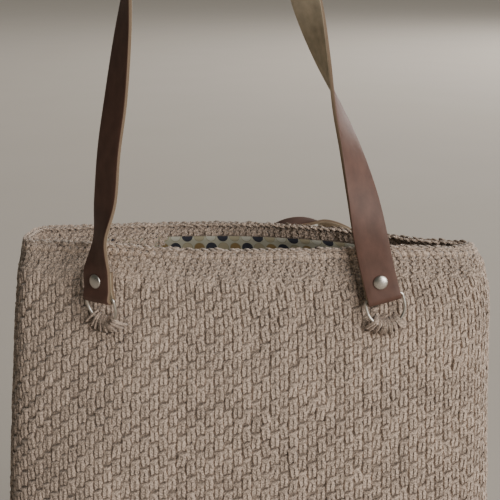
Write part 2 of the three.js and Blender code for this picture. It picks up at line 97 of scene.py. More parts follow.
RING_HALF = (RING_INNER_WIDTH + WIRE) / 2
RING_LENGTH = RING_INNER_HEIGHT + WIRE
FOLD_RADIUS = WIRE / 2 + WIRE_GAP + STRAP_THICK / 2
LAYER_OFFSET = (STRAP_THICK + LAYER_GAP) / 2
STACK_HALF = LAYER_OFFSET + STRAP_THICK / 2 + CAP_GAP

# The mouth seen from above: x and y as shares of half its width and depth, and the rim's lift.
MOUTH_PLAN = np.array([
    (-0.995, 0.1, 0.6), (-0.985, -0.44, 0.8), (-0.86, -0.6, 0.9), (-0.635, -0.79, 1), (-0.38, -0.93, 0.3),
    (-0.12, -0.985, 0), (0.14, -0.96, 0), (0.38, -0.91, 0.1), (0.6, -0.87, 0.5), (0.8, -0.81, 0.3),
    (0.925, -0.67, 0), (0.972, -0.47, 0.1), (0.9, -0.31, 0), (0.77, -0.17, 0), (0.62, 0.14, 0),
    (0.42, 0.58, 0), (0.2, 0.84, 0), (-0.06, 0.99, 0), (-0.34, 0.97, 0), (-0.6, 0.86, 0), (-0.82, 0.73, 0),
    (-0.965, 0.58, 0.2),
])

# The body from base to rim: height, then left, right, front and back as shares of half the belly.
BODY_SECTIONS = np.array([
    (0, 0.955, 0.95, 0.9, 0.92), (0.12, 0.99, 0.985, 0.98, 0.96), (0.35, 1, 0.988, 1.06, 0.98),
    (0.63, 0.97, 0.965, 1.05, 0.97), (0.81, 0.946, 0.958, 1.01, 0.95), (1, 0.93, 0.958, 0.95, 0.93),
])

# Drag folds below the rings: wall, x, down, to x, to down, depth and reach.
DRAG_FOLDS = (
    (-1, -0.6, 0.24, -0.95, 0.62, -0.006, 0.06),
    (-1, -0.42, 0.2, -0.72, 0.85, 0.005, 0.07),
    (-1, 0.62, 0.24, 0.9, 0.6, -0.005, 0.07),
    (-1, -0.1, 0.3, 0.25, 0.8, 0.004, 0.1),
    (1, -0.5, 0.25, -0.8, 0.7, -0.005, 0.08),
    (1, 0.5, 0.2, 0.7, 0.75, -0.006, 0.08),
)

# The rings: name, wall, x, turn, lean, nod, the leather's swing and how far above the bar it runs straight.
RING_STATIONS = (
    ("front_left", -1, -0.965, 28, 0, 18, -15, 0.96),
    ("front_right", -1, 1, 0, -13.5, 0, 0, 1.2),
    ("rear_right", 1, 1, 10, 40, 8, 0, 1.3),
    ("rear_left", 1, -1, 0, 0, 166, 0, 1.1),
)

# The front strap from its left ring: x, y, z as shares of half the ring span, its reach and its height, and
# its twist in degrees.
FRONT_STRAP = (
    (-0.993, 0.96, 0.033, 24), (-0.953, 0.87, 0.138, 42), (-0.925, 0.76, 0.267, 43), (-0.876, 0.64, 0.4, 42),
    (-0.824, 0.51, 0.567, 30), (-0.782, 0.38, 0.708, 12), (-0.72, 0.2, 0.84, 3), (-0.56, 0.06, 0.95, 0),
    (-0.246, 0, 1, 0), (0.09, 0.06, 0.94, -4), (0.262, 0.16, 0.833, -22), (0.348, 0.25, 0.742, -42),
    (0.412, 0.33, 0.654, -54), (0.52, 0.5, 0.508, -22), (0.621, 0.61, 0.383, 12), (0.714, 0.74, 0.271, 36),
    (0.798, 0.87, 0.146, 62), (0.854, 0.96, 0.042, 84),
)

# The rear strap from its right ring: x as above, y from the rings' plane to the loop's, z as a share of its
# fall, and its twist.
REAR_STRAP = (
    (0.6, 0.9, -0.0175, -160), (0.45, 1, -0.0115, -180), (0.28, 1, -0.02, -180), (0.16, 1, -0.05, -180),
    (0.095, 1, -0.115, -180), (0.085, 1, -0.22, -180), (0.12, 1, -0.36, -180), (0.18, 1, -0.52, -180),
    (0.2, 1, -0.68, -180), (0.13, 1, -0.84, -180), (-0.11, 1, -0.965, -180), (-0.43, 1, -1, -180),
    (-0.76, 1, -0.95, -180), (-0.97, 1, -0.82, -183), (-1.01, 1, -0.66, -194), (-1, 0.8, -0.5, -224),
    (-1, 0.25, -0.37, -262),
)

# The bag's own origin in the row's frame: the row's origin is under the top of the front strap.
ORIGIN = np.array([
    -(RING_MIDDLE - 0.246 * RING_SPAN / 2),
    -HANG_PLANE,
    STRAP_THICK / 2 - HANG_HEIGHT,
])

# Crochet stitches as cord paths in millimetres: across, up and outwards from the stitch's place.
MOSS_LEGS = (
    (-1.35, -6.0, -3.2), (-1.6, -5.0, -0.9), (-1.7, -1.8, 0.1), (-1.45, 1.3, -0.3), (1.45, 1.5, -0.3),
    (1.7, -1.4, 0.0), (1.65, -4.3, -0.9), (1.4, -5.3, -3.2),
)
MOSS_LEAF = (
    (-3.1, 2.0, -2.4), (-2.4, 2.5, -0.1), (-0.6, 3.0, 0.8), (1.3, 3.6, 0.8), (2.5, 4.1, -0.1),
    (3.1, 4.3, -2.4),
)
PLAIN_LEGS = (
    (-1.1, -2.9, -2.2), (-1.25, -0.9, -0.1), (0, 0.9, -0.3), (1.25, -0.7, -0.2), (1.1, -2.7, -2.2),
)
PLAIN_LEAF = ((-2.5, 0.3, -1.9), (-1.5, 1.0, 0.1), (0.8, 1.8, 0.25), (2.4, 2.3, -1.9))
EDGE_VEE = (
    (-2.0, 2.9, -1.8), (0.2, 2.7, 0.1), (2.8, 1.7, 0.4), (4.9, 0.2, -0.3), (5.0, -0.4, -0.5),
    (2.8, -1.6, 0.3), (0.2, -2.6, 0.0), (-2.0, -2.8, -1.8),
)

# The column, row and link that the moss stitch and the chain are drawn for.
DRAWN_COLUMN = 6.2
DRAWN_ROW = 5.7
DRAWN_LINK = 5.4

# How thick a stitch's strands are as shares of the cord, how flat worked cord is pressed and how much its
# ends narrow.
LEAF_SHARE = 0.78
PLAIN_LEG_SHARE = 0.78
PLAIN_LEAF_SHARE = 0.74
CHAIN_SHARE = 0.86
FAN_SHARE = 0.55
PRESSED = 0.48
CORD_END = 0.75

# The cords of a ring's tab fan out from its arc: the first and last angle, and each cord's way over the wire
# as millimetres outwards along its ray, share of the wire's distance from the wall and millimetres out from
# there.
FAN_ANGLES = (42, 134)
FAN_CORDS = 9
FAN_PATH = (
    (-3.3, 0.2, -1.5), (-2.5, 0.8, 0), (-1.5, 1, 1), (0, 1, 1.8), (2.2, 0.85, 1), (4.4, 0.5, 0.9),
    (6.4, 0.15, 0.9), (8.2, 0, -1.6),
)

# Where the rows lie, in millimetres down from the rim. The low rows lie at the rear wall's left alone.
FRONT_CHAIN = 3.3
PLAIN_PITCH = 4.6
PLAIN_ROWS = (9.2, 13.2, 17.2, 21)
INNER_ROWS = (2.6, 6.6)
LOW_ROWS = (9.8, 13.4)
LOW_ROWS_END = -60
FIRST_MOSS_ROW = 22
PRINT_START = 3.4

# How far the rows stand out from the wall's outer face. The inner and low rows count inwards from it.
PLAIN_OUT = -0.9
CHAIN_OUT = -0.8
INNER_OUT = WALL - 1.1
LOW_OUT = WALL + 1.2

# How far the chain on the rim's top is sunk, and the share of its width that it keeps there.
TOP_CHAIN_DEPTH = 1.2
TOP_CHAIN_SPREAD = 0.55

# How far the moss rows run on round the base's edge, and how far in from the wall's face the base's rows end.
ROWS_UNDER = BASE_RADIUS * 1.6
BASE_EDGE = BASE_RADIUS - 3

# How unevenly stitches are worked: turn in radians, growth, and shares of the wander across, up and outwards.
STITCH_TURN = 0.08
STITCH_GROWTH = 0.035
WANDER_SHARES = (0.6, 0.8, 0.5)

# How unevenly a tab's cords lie, in degrees and millimetres.
FAN_TURN = 1.5
FAN_WANDER = 0.15

# Rows climb towards the right: millimetres for each millimetre across, from where and how far, and between
# which heights, with how long a fade.
ROW_CLIMB = 0.05
CLIMB_START = -40
CLIMB_SPAN = 200
CLIMB_TOP = 18
CLIMB_FOOT = BAG_HEIGHT - 20
CLIMB_FADE = 90

# The backing behind the stitches: its outer and inner face in from the wall's, under the rim and below the
# lining's edge, where it starts below the rim, and how dark it is in the gaps: painted shade, the cord's
# colour darkened to stand for the shade between the stitches.
BACKING_OUTER = (1.1, 1.3)
BACKING_INNER = (2.3, 3.7)
BACKING_TOP = 1.8
BACKING_SHADE = 0.62

# The lining's cloth is this many millimetres thick.
CLOTH_THICK = 0.5

# The lining's ruffles: waves round the bag, and their slant in radians for each millimetre down. The first
# two multiply each other and the third adds its share.
RUFFLE_WAVES = ((23, 0.02), (9, 1 / 31), (14, -1 / 17))
RUFFLE_SHARE = 0.6

# They grow over this far below the lining's edge, and fade out over this far above the base's edge.
RUFFLE_TOP = 22
RUFFLE_FOOT = 30

# The backing and the lining close on the base towards a middle line of this half length. The base's own
# outline is rounded by these powers, along and across.
BASE_SPINE = 115
BASE_POWERS = (4, 3)

# The leather's grain side is this much thicker at its middle, and the suede side's map begins here.
STRAP_CROWN = 0.12
SUEDE_MAP_START = 40

# How finely the pieces are drawn: sides and rings, round and down.
CORD_SIDES = 6
WALK_STEPS = 720
FINE_STEPS = 40 * WALK_STEPS
GRID_ROUND = 960
GRID_DOWN = 340
GRID_ABOVE = 6
GRID_UNDER = 8
BACKING_ROUND = 260
BACKING_RINGS = 60
LINING_ROUND = 400
LINING_RINGS = 110

# The camera stands 750 mm before the bag and 14 degrees above its rim.
CAMERA_SPOT = (0.02598, -0.7657, -0.05735)
CAMERA_AIM = (0.02598, -0.038, -0.23875)
CAMERA_LENS = 83.85
FLOOR_LEVEL = -0.62

# Kind, name, place, aim, size, power and tint. The sun's size is its angle in radians.
LIGHTS = (
    ("SUN", "daylight", (2.4, -1.35, 1.7), (0, 0, 0), 1.3, 1.9, (1, 0.97, 0.93)),
    ("AREA", "key", (1.15, -1.2, 0.15), (0.1, 0, -0.3), 0.9, 15.5, (1, 0.96, 0.92)),
    ("AREA", "wash", (4.6, 6, 2.4), (0.9, 5, -0.6), 4, 420, (1, 0.97, 0.94)),
)


class CrochetSettings(bpy.types.PropertyGroup):
    """What a maker would change in the crochet."""

    stitch_pair: FloatProperty(
        name="Stitch pair", description="Width of one moss-stitch pair", default=2 * DRAWN_COLUMN * MM,
        unit="LENGTH")
    row_height: FloatProperty(
        name="Row height", description="Height of one crochet row", default=DRAWN_ROW * MM, unit="LENGTH")
    cord_radius: FloatProperty(
        name="Cord radius", description="Radius of the cotton cord", default=2.04 * MM, unit="LENGTH")
    edge_pitch: FloatProperty(
        name="Edge pitch", description="Length of one link of the rim's chain", default=DRAWN_LINK * MM,
        unit="LENGTH")
    unevenness: FloatProperty(
        name="Unevenness", description="How far hand-made stitches wander", default=0.4 * MM, unit="LENGTH")
    seed: IntProperty(name="Seed", description="Which hand-made unevenness is used", default=11)
    colour: FloatVectorProperty(
        name="Cord colour", description="Colour of the cotton cord", subtype="COLOR", size=3,
        default=(0.48, 0.375, 0.3))


class LiningSettings(bpy.types.PropertyGroup):
    """What a maker would change in the lining."""

    dot_pitch: FloatProperty(
        name="Dot pitch", description="Distance between the printed dots", default=8.3 * MM, unit="LENGTH")
    dot_width: FloatProperty(
        name="Dot width", description="Width of one printed dot", default=7.6 * MM, unit="LENGTH")
    ruffle: FloatProperty(
        name="Ruffle", description="How far the loose cloth stands in", default=1.6 * MM, unit="LENGTH")


class LeatherSettings(bpy.types.PropertyGroup):
    """What a maker would change in the straps."""

    edge_round: FloatProperty(
        name="Edge rounding", description="Radius of the strap's rubbed edges", default=0.5 * MM,
        unit="LENGTH")
    colour: FloatVectorProperty(
        name="Grain colour", description="Colour of the leather's grain side", subtype="COLOR", size=3,
        default=(0.112, 0.056, 0.041))


# Frames and lines of the bag

def along_rows(rows, at, closed):
    """Between rows that lie evenly along a smooth line."""
    rows = np.asarray(rows, float)
    at = np.atleast_1d(np.asarray(at, float))
    row = np.floor(at).astype(int)
    t = (at - row)[:, None]

    def value(i):
        return rows[i % len(rows)] if closed else rows[np.clip(i, 0, len(rows) - 1)]

    a, b, c, d = (value(row + k) for k in (-1, 0, 1, 2))
    return b + 0.5 * t * (c - a + t * (2 * a - 5 * b + 4 * c - d + t * (3 * (b - c) + d - a)))


def between_sections(column, up):
    """A column of the body's table at a height."""
    by, values = BODY_SECTIONS[:, 0], BODY_SECTIONS[:, column]
    last = len(by) - 1
    place = np.clip(up, by[0], by[last])
    i = np.clip(np.searchsorted(by, place, side="left") - 1, 0, last - 1)
    before, after = np.maximum(np.arange(last + 1) - 1, 0), np.minimum(np.arange(last + 1) + 1, last)
    slope = (values[after] - values[before]) / (by[after] - by[before])
    span = by[i + 1] - by[i]
    t = (place - by[i]) / span
    rise = t * t * (3 - 2 * t)
    start = t * (1 - t) ** 2 * span * slope[i]
    end = t * t * (t - 1) * span * slope[i + 1]
    return values[i] * (1 - rise) + values[i + 1] * rise + start + end


def mouth_point(share):
    half_sizes = (MOUTH_WIDTH / 2, MOUTH_DEPTH / 2, RIM_LIFT)
    return along_rows(MOUTH_PLAN, share * len(MOUTH_PLAN), True) * half_sizes


def body_point(share, up):
    angle = np.pi * (1 + 2 * share)
    across, deep = (np.sign(v) * np.abs(v) ** (2 / CORNER_POWER) for v in (np.cos(angle), np.sin(angle)))
    width = np.where(across < 0, between_sections(1, up), between_sections(2, up))
    depth = np.where(deep < 0, between_sections(3, up), between_sections(4, up))
    return np.stack([across * width * BELLY_WIDTH / 2, deep * depth * BELLY_DEPTH / 2, 0 * across], 1)


def even_walk(point_at):
    """Turns a share of the way round a closed plan into the value that lies there."""
    steps = np.linspace(0, 1, FINE_STEPS + 1)
    points = point_at(steps)[:, :2]
    lengths = np.concatenate([[0], np.cumsum(np.linalg.norm(np.diff(points, axis=0), axis=1))])
    return lambda share: np.interp((share % 1) * lengths[-1], lengths, steps)


mouth_walk = even_walk(mouth_point)
body_walk = even_walk(lambda share: body_point(share, np.full(len(share), 0.5)))


def fold_depth(points):
    depth = np.zeros(len(points))
    for wall, x, down, to_x, to_down, deep, reach in DRAG_FOLDS:
        share = np.maximum(wall * points[:, 1], 0) / (BELLY_DEPTH / 2)
        start = np.array([x * BELLY_WIDTH / 2, -down * BAG_HEIGHT])
        way = np.array([to_x * BELLY_WIDTH / 2, -to_down * BAG_HEIGHT]) - start
        here = points[:, [0, 2]] - start
        along = np.clip(here @ way / (way @ way), 0, 1)
        off = np.linalg.norm(here - along[:, None] * way, axis=1) / (reach * BAG_HEIGHT)
        depth += share * deep * BAG_HEIGHT * np.exp(-off * off)
    return depth


def face_point(around, level):
    up = 1 + level / BAG_HEIGHT
    mouth = mouth_point(mouth_walk(around))
    body = body_point(body_walk(around), up)
    ends, pinch = np.exp(level / SHOULDER_DROP), np.exp(level / PINCH_DROP)
    return np.stack([
        body[:, 0] + (mouth[:, 0] - body[:, 0]) * ends,
        body[:, 1] + (mouth[:, 1] - body[:, 1]) * pinch,
        level + mouth[:, 2] * pinch * up,
    ], 1)


def wall_point(around, level, inset):
    """The crochet's outer face, moved inwards by inset."""
    around, level = (np.atleast_1d(np.asarray(v, float)) for v in (around, level))
    level = np.broadcast_to(level, around.shape)
    step = 0.0016
    point = face_point(around, level)
    way = face_point(around + step, level) - face_point(around - step, level)
    outward = np.stack([way[:, 1], -way[:, 0], np.zeros(len(way))], 1)
    outward /= np.linalg.norm(outward, axis=1)[:, None]
    return point + outward * (fold_depth(point) - inset)[:, None]


def wall_length(level):
    points = wall_point(np.linspace(0, 1, WALK_STEPS + 1), np.full(WALK_STEPS + 1, float(level)), 0)
    return float(np.linalg.norm(np.diff(points, axis=0), axis=1).sum())


class WallMap:
    """The wall as a cloth: a share of the way round and millimetres down give a point and its normal."""

    foot = BAG_HEIGHT - BASE_RADIUS
    turned_in = foot + BASE_RADIUS * math.pi / 2

    def __init__(self):
        self.around = np.linspace(0, 1, GRID_ROUND, endpoint=False)
        self.down = np.linspace(-GRID_ABOVE, self.turned_in + GRID_UNDER, GRID_DOWN)
        rows = []
        for down in self.down:
            turn = max(down - self.foot, 0) / BASE_RADIUS
            if turn <= math.pi / 2:
                level = -min(down, self.foot) - BASE_RADIUS * math.sin(turn)
                inset = BASE_RADIUS * (1 - math.cos(turn))
            else:
                level, inset = -BAG_HEIGHT, BASE_RADIUS + (turn - math.pi / 2) * BASE_RADIUS
            rows.append(wall_point(self.around, np.full(GRID_ROUND, level), inset))
        self.points = np.array(rows)
        along = np.roll(self.points, -1, 1) - np.roll(self.points, 1, 1)
        downwards = np.gradient(self.points, axis=0)
        normals = np.cross(downwards, along)
        self.normals = normals / np.linalg.norm(normals, axis=2)[:, :, None]

    def at(self, around, down):
        col = (around % 1) * GRID_ROUND
        row = np.clip((down - self.down[0]) / (self.down[1] - self.down[0]), 0, GRID_DOWN - 1.001)
        c, r = np.floor(col).astype(int), np.floor(row).astype(int)
        s, t = (col - c)[..., None], (row - r)[..., None]
        c, c1 = c % GRID_ROUND, (c + 1) % GRID_ROUND

        def mix(grid):
            top = grid[r, c] * (1 - s) + grid[r, c1] * s
            low = grid[r + 1, c] * (1 - s) + grid[r + 1, c1] * s
            return top * (1 - t) + low * t

        return mix(self.points), mix(self.normals)


def ring_outline(arc_steps=28, corner_steps=5):
    """The middle line of a D-ring's wire, from the bar's left end."""
    def arc(x, z, reach, start, steps):
        angles = start + np.linspace(0, 1, steps + 1) * (math.pi / 2 if reach == RING_CORNER else math.pi)
        return np.stack([x + reach * np.cos(angles), 0 * angles, z + reach * np.sin(angles)], 1)

    side = RING_HALF - RING_CORNER
    return np.concatenate([
        arc(-side, -RING_CORNER, RING_CORNER, math.pi / 2, corner_steps),
        arc(0, RING_HALF - RING_LENGTH, RING_HALF, math.pi, arc_steps),
        arc(side, -RING_CORNER, RING_CORNER, 0, corner_steps),
    ])


def wall_frame(side, x, level):
    """X along the wall, Y into the bag and Z up the wall."""
    low, high = (0.02, 0.48) if side < 0 else (0.52, 0.98)
    beside, above = 0.01, 8
    tries = np.linspace(low, high, WALK_STEPS + 1)
    best = tries[np.argmin(np.abs(wall_point(tries, level, 0)[:, 0] - x))]
    along = wall_point(best + beside, level, 0) - wall_point(best - beside, level, 0)
    along = Vector(along[0]).normalized()
    rise = wall_point(best, level + above, 0) - wall_point(best, level - above, 0)
    rise = Vector(rise[0]).normalized()
    inwards = rise.cross(along).normalized()
    placed = Matrix((along, inwards, along.cross(inwards))).transposed().to_4x4()
    placed.translation = Vector(wall_point(best, level, 0)[0])
    return placed


def turned(degrees, axis):
    return Matrix.Rotation(math.radians(degrees), 4, axis)


def ring_frames(station):
    """The wall's frame under a ring, the ring's own frame, with its bar along X and its arc below, and the
    leather's."""
    _, side, x, turn, lean, nod, swing, _ = station
    wall = wall_frame(side, RING_MIDDLE + x * RING_SPAN / 2, -RING_DROP)
    spin, tip = math.radians(turn), math.radians(nod)
    outline = ring_outline(10, 2)
    reaches = np.abs(outline[:, 0]) * math.sin(spin)
    reaches -= (outline[:, 2] + RING_LENGTH) * math.sin(tip) * math.cos(spin)
    away = max(reaches.max() + WIRE / 2, STACK_HALF + CAP_HEIGHT) + WALL_GAP
    ring = (wall @ Matrix.Translation((0, -away, 0)) @ turned(-turn, "Z") @ turned(lean, "Y")
            @ turned(nod, "X") @ Matrix.Translation((0, 0, RING_LENGTH)))
    return wall, ring, ring @ turned(swing, "X")


def across_at(way, turn):
    frontwards = (Vector((0, -1, 0)) + way * way.y).normalized()
    return Matrix.Rotation(math.radians(turn), 3, way) @ frontwards


def turn_of(way, across, beside):
    frontwards = across_at(way, 0)
    turn = math.degrees(math.atan2(frontwards.cross(across).dot(way), frontwards.dot(across)))
    return turn + 360 * round((beside - turn) / 360)


def fold_line(leather, steps=14):
    """The leather's middle line round a ring's bar, from the flap's end to the rivet in front."""
    flat = RIVET_RISE - CAP_RADIUS - 1
    line = [(LAYER_OFFSET, FLAP_LENGTH), (LAYER_OFFSET, RIVET_RISE), (LAYER_OFFSET, flat),
            ((LAYER_OFFSET + FOLD_RADIUS) / 2, flat / 2)]
    for i in range(steps + 1):
        angle = math.pi * i / steps
        line.append((FOLD_RADIUS * math.cos(angle), -FOLD_RADIUS * math.sin(angle)))
    line += [(-(LAYER_OFFSET + FOLD_RADIUS) / 2, flat / 2), (-LAYER_OFFSET, flat),
             (-LAYER_OFFSET, RIVET_RISE)]
    return [leather @ Vector((0, y, z)) for y, z in line]


def strap_line(rows, place_of, start, end, steps=9):
    """Middle points and across directions of a strap folded round two rings."""
    (start_frame, start_straight), (end_frame, end_straight) = start, end
    start_axes, end_axes = start_frame.to_3x3(), end_frame.to_3x3()
    start_across, end_across = start_axes @ Vector((1, 0, 0)), end_axes @ Vector((-1, 0, 0))
    start_fold, end_fold = fold_line(start_frame), fold_line(end_frame)[::-1]
    start_top = start_frame @ Vector((0, -LAYER_OFFSET, start_straight * FLAP_LENGTH))
    end_top = end_frame @ Vector((0, -LAYER_OFFSET, end_straight * FLAP_LENGTH))
    start_turn = turn_of(start_axes @ Vector((0, 0, 1)), start_across, rows[0][3])
    end_turn = turn_of(end_axes @ Vector((0, 0, -1)), end_across, rows[-1][3])
    knots = [(*start_fold[-1], start_turn), (*start_top, start_turn)]
    knots += [(*place_of(row), row[3]) for row in rows]
    knots += [(*end_top, end_turn), (*end_fold[0], end_turn)]
    at = np.arange(steps, (len(knots) - 2) * steps + 1) / steps
    free = along_rows(knots, at, False)
    middles = [*start_fold, *(Vector(row[:3]) for row in free), *end_fold]
    twists = [None] * len(start_fold) + [row[3] for row in free] + [None] * len(end_fold)
    acrosses, ways = [], []
    for i, twist in enumerate(twists):
        way = (middles[min(i + 1, len(middles) - 1)] - middles[max(i - 1, 0)]).normalized()
        held = start_across if i < len(start_fold) else end_across
        acrosses.append(held if twist is None else across_at(way, twist))
        ways.append(way)
    return middles, acrosses, ways


# Modelling helpers

def put(points):
    """Millimetres in the bag's frame to metres in the row's frame."""
    return (np.asarray(points, float) + ORIGIN) * MM


def select_only(piece):
    """Selects one piece alone and makes it the active one."""
    bpy.ops.object.select_all(action="DESELECT")
    piece.select_set(True)
    bpy.context.view_layer.objects.active = piece


def face_outwards():
    """Turns all faces of the active piece outwards."""
    bpy.ops.object.mode_set(mode="EDIT")
    bpy.ops.mesh.select_all(action="SELECT")
    bpy.ops.mesh.normals_make_consistent(inside=False)
    bpy.ops.object.mode_set(mode="OBJECT")


def dressed(piece, solid):
    """Hangs a finished piece on the bag in place of a solid."""
    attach(piece, "root")
    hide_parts(solid)


def extruded_tube(sides, steps):
    """A plain tube made as by hand: a filled circle extruded step by step. Its rings are a unit apart."""
    bpy.ops.object.select_all(action="DESELECT")
    bpy.ops.mesh.primitive_circle_add(vertices=sides, radius=1, fill_type="NGON")
    made = bpy.context.object
    bpy.ops.object.mode_set(mode="EDIT")
    bpy.ops.mesh.select_all(action="SELECT")
    for _ in range(steps):
        bpy.ops.mesh.extrude_region_move(TRANSFORM_OT_translate={"value": (0, 0, 1)})
    face_outwards()
    return made


def tube_parts(made, sides):
    """For each vertex of an extruded tube its ring and its side, and the faces."""
    co = np.array([v.co for v in made.data.vertices])
    rings = np.rint(co[:, 2]).astype(int)
    sided = np.rint(np.arctan2(co[:, 1], co[:, 0]) / (2 * math.pi) * sides).astype(int) % sides
    faces = [list(p.vertices) for p in made.data.polygons]
    return rings, sided, faces


def frames_along(path):
    """Unit directions beside and above a path, carried along it without twist."""
    ways = np.gradient(path, axis=0)
    ways /= np.linalg.norm(ways, axis=1)[:, None]
    beside = np.cross(ways[0], (0, 0, 1.0))
    besides = []
    for way in ways:
        beside = beside - way * (beside @ way)
        beside /= np.linalg.norm(beside)
        besides.append(beside)
    besides = np.array(besides)
    return besides, np.cross(ways, besides)


def cord_stitch(path, radius):
    """One stitch's cord as vertices, faces and a cord map: millimetres along it and turns round it."""
    path = np.asarray(path, float)
    made = extruded_tube(CORD_SIDES, len(path) - 1)
    rings, sided, faces = tube_parts(made, CORD_SIDES)
    bpy.data.objects.remove(made)
    besides, aboves = frames_along(path)
    angle = (sided + 0.5) * 2 * math.pi / CORD_SIDES + math.pi / 2
    ends = np.where((rings == 0) | (rings == len(path) - 1), CORD_END, 1.0)
    offsets = besides[rings] * np.cos(angle)[:, None] + aboves[rings] * np.sin(angle)[:, None]
    vertices = path[rings] + offsets * (radius * ends)[:, None]
    walked = np.concatenate([[0], np.cumsum(np.linalg.norm(np.diff(path, axis=0), axis=1))])
    cord_map = []
    for face in faces:
        turns = sided[face] / CORD_SIDES
        if turns.max() - turns.min() > 0.5 and len(face) == 4:
            turns = np.where(turns < 0.5, turns + 1, turns)
        cord_map += list(zip(walked[rings[face]], turns))
    first = vertices[faces[0]]
    normal = np.cross(first[1] - first[0], first[2] - first[1])
    middle = first.mean(0) - path[rings[faces[0]]].mean(0)
    if len(faces[0]) == 4 and normal @ middle < 0:
        faces = [face[::-1] for face in faces]
    return vertices, faces, np.array(cord_map)


def joined(stitches):
    """Several cords as one stitch."""
    faces, count = [], 0
    for vertices, sides, _ in stitches:
        faces += [[i + count for i in face] for face in sides]
        count += len(vertices)
    return np.concatenate([s[0] for s in stitches]), faces, np.concatenate([s[2] for s in stitches])


def mesh_piece(name, vertices, faces, material, flat_map=None, tones=None, map_name="cord"):
    """A finished mesh in the row's frame, with its flat map in millimetres."""
    mesh = bpy.data.meshes.new(name)
    mesh.from_pydata(np.asarray(vertices).tolist(), [], faces)
    if flat_map is not None:
        layer = mesh.uv_layers.new(name=map_name)
        layer.data.foreach_set("uv", np.asarray(flat_map, np.float32).ravel())
    if tones is not None:
        mesh.attributes.new("tone", "FLOAT", "POINT").data.foreach_set("value", np.asarray(tones, np.float32))
    mesh.polygons.foreach_set("use_smooth", [True] * len(faces))
    mesh.validate()
    mesh.materials.append(material)
    made = bpy.data.objects.new(name, mesh)
    bpy.context.scene.collection.objects.link(made)
    return made


def crocheted(name, stitch, places, mapping, material, rng, settings):
    """A piece of the body: many copies of one stitch, each bent onto its place by mapping."""
    vertices, faces, cord_map = stitch
    count, size = len(places), len(vertices)
    wander = settings.unevenness / MM
    spin = rng.normal(0, STITCH_TURN, count)[:, None]
    grow = 1 + rng.normal(0, STITCH_GROWTH, count)[:, None]
    across = (vertices[:, 0] * np.cos(spin) - vertices[:, 1] * np.sin(spin)) * grow
    up = (vertices[:, 0] * np.sin(spin) + vertices[:, 1] * np.cos(spin)) * grow
    off = [rng.normal(0, wander, count)[:, None] * share for share in WANDER_SHARES]
    points = mapping(places, across + off[0], up + off[1], vertices[:, 2] + off[2]).reshape(-1, 3)
    all_faces = [[i + k * size for i in face] for k in range(count) for face in faces]
    shifts = np.repeat(rng.uniform(0, 9, count), len(cord_map))
    maps = np.tile(cord_map, (count, 1))
    maps[:, 0] += shifts
    tones = np.repeat(rng.uniform(0, 1, count), size)
    piece = mesh_piece(name, put(points), all_faces, material, maps, tones)
    dressed(piece, "bag_body")


# Materials

def hexed(code):
    """An sRGB hex colour as linear red, green, blue and alpha."""
    parts = [int(code[i:i + 2], 16) / 255 for i in (0, 2, 4)]
    return tuple(c / 12.92 if c <= 0.04045 else ((c + 0.055) / 1.055) ** 2.4 for c in parts) + (1,)


def add_node(tree, kind, inputs=None, **settings):
    """A node with its settings; inputs holds values or other nodes' sockets."""
    made = tree.nodes.new(kind)
    for name, value in settings.items():
        setattr(made, name, value)
    for name, value in (inputs or {}).items():
        if isinstance(value, bpy.types.NodeSocket):
            tree.links.new(value, made.inputs[name])
        else:
            made.inputs[name].default_value = value
    return made


def new_material(name):
    material = bpy.data.materials.new(name)
    material.use_nodes = True
    material.node_tree.nodes.clear()
    return material, material.node_tree


def finish_material(tree, inputs):
    shader = add_node(tree, "ShaderNodeBsdfPrincipled", inputs)
    add_node(tree, "ShaderNodeOutputMaterial", {"Surface": shader.outputs["BSDF"]})


def shaded(colour, share):
    return tuple(c * share for c in tuple(colour)[:3]) + (1,)


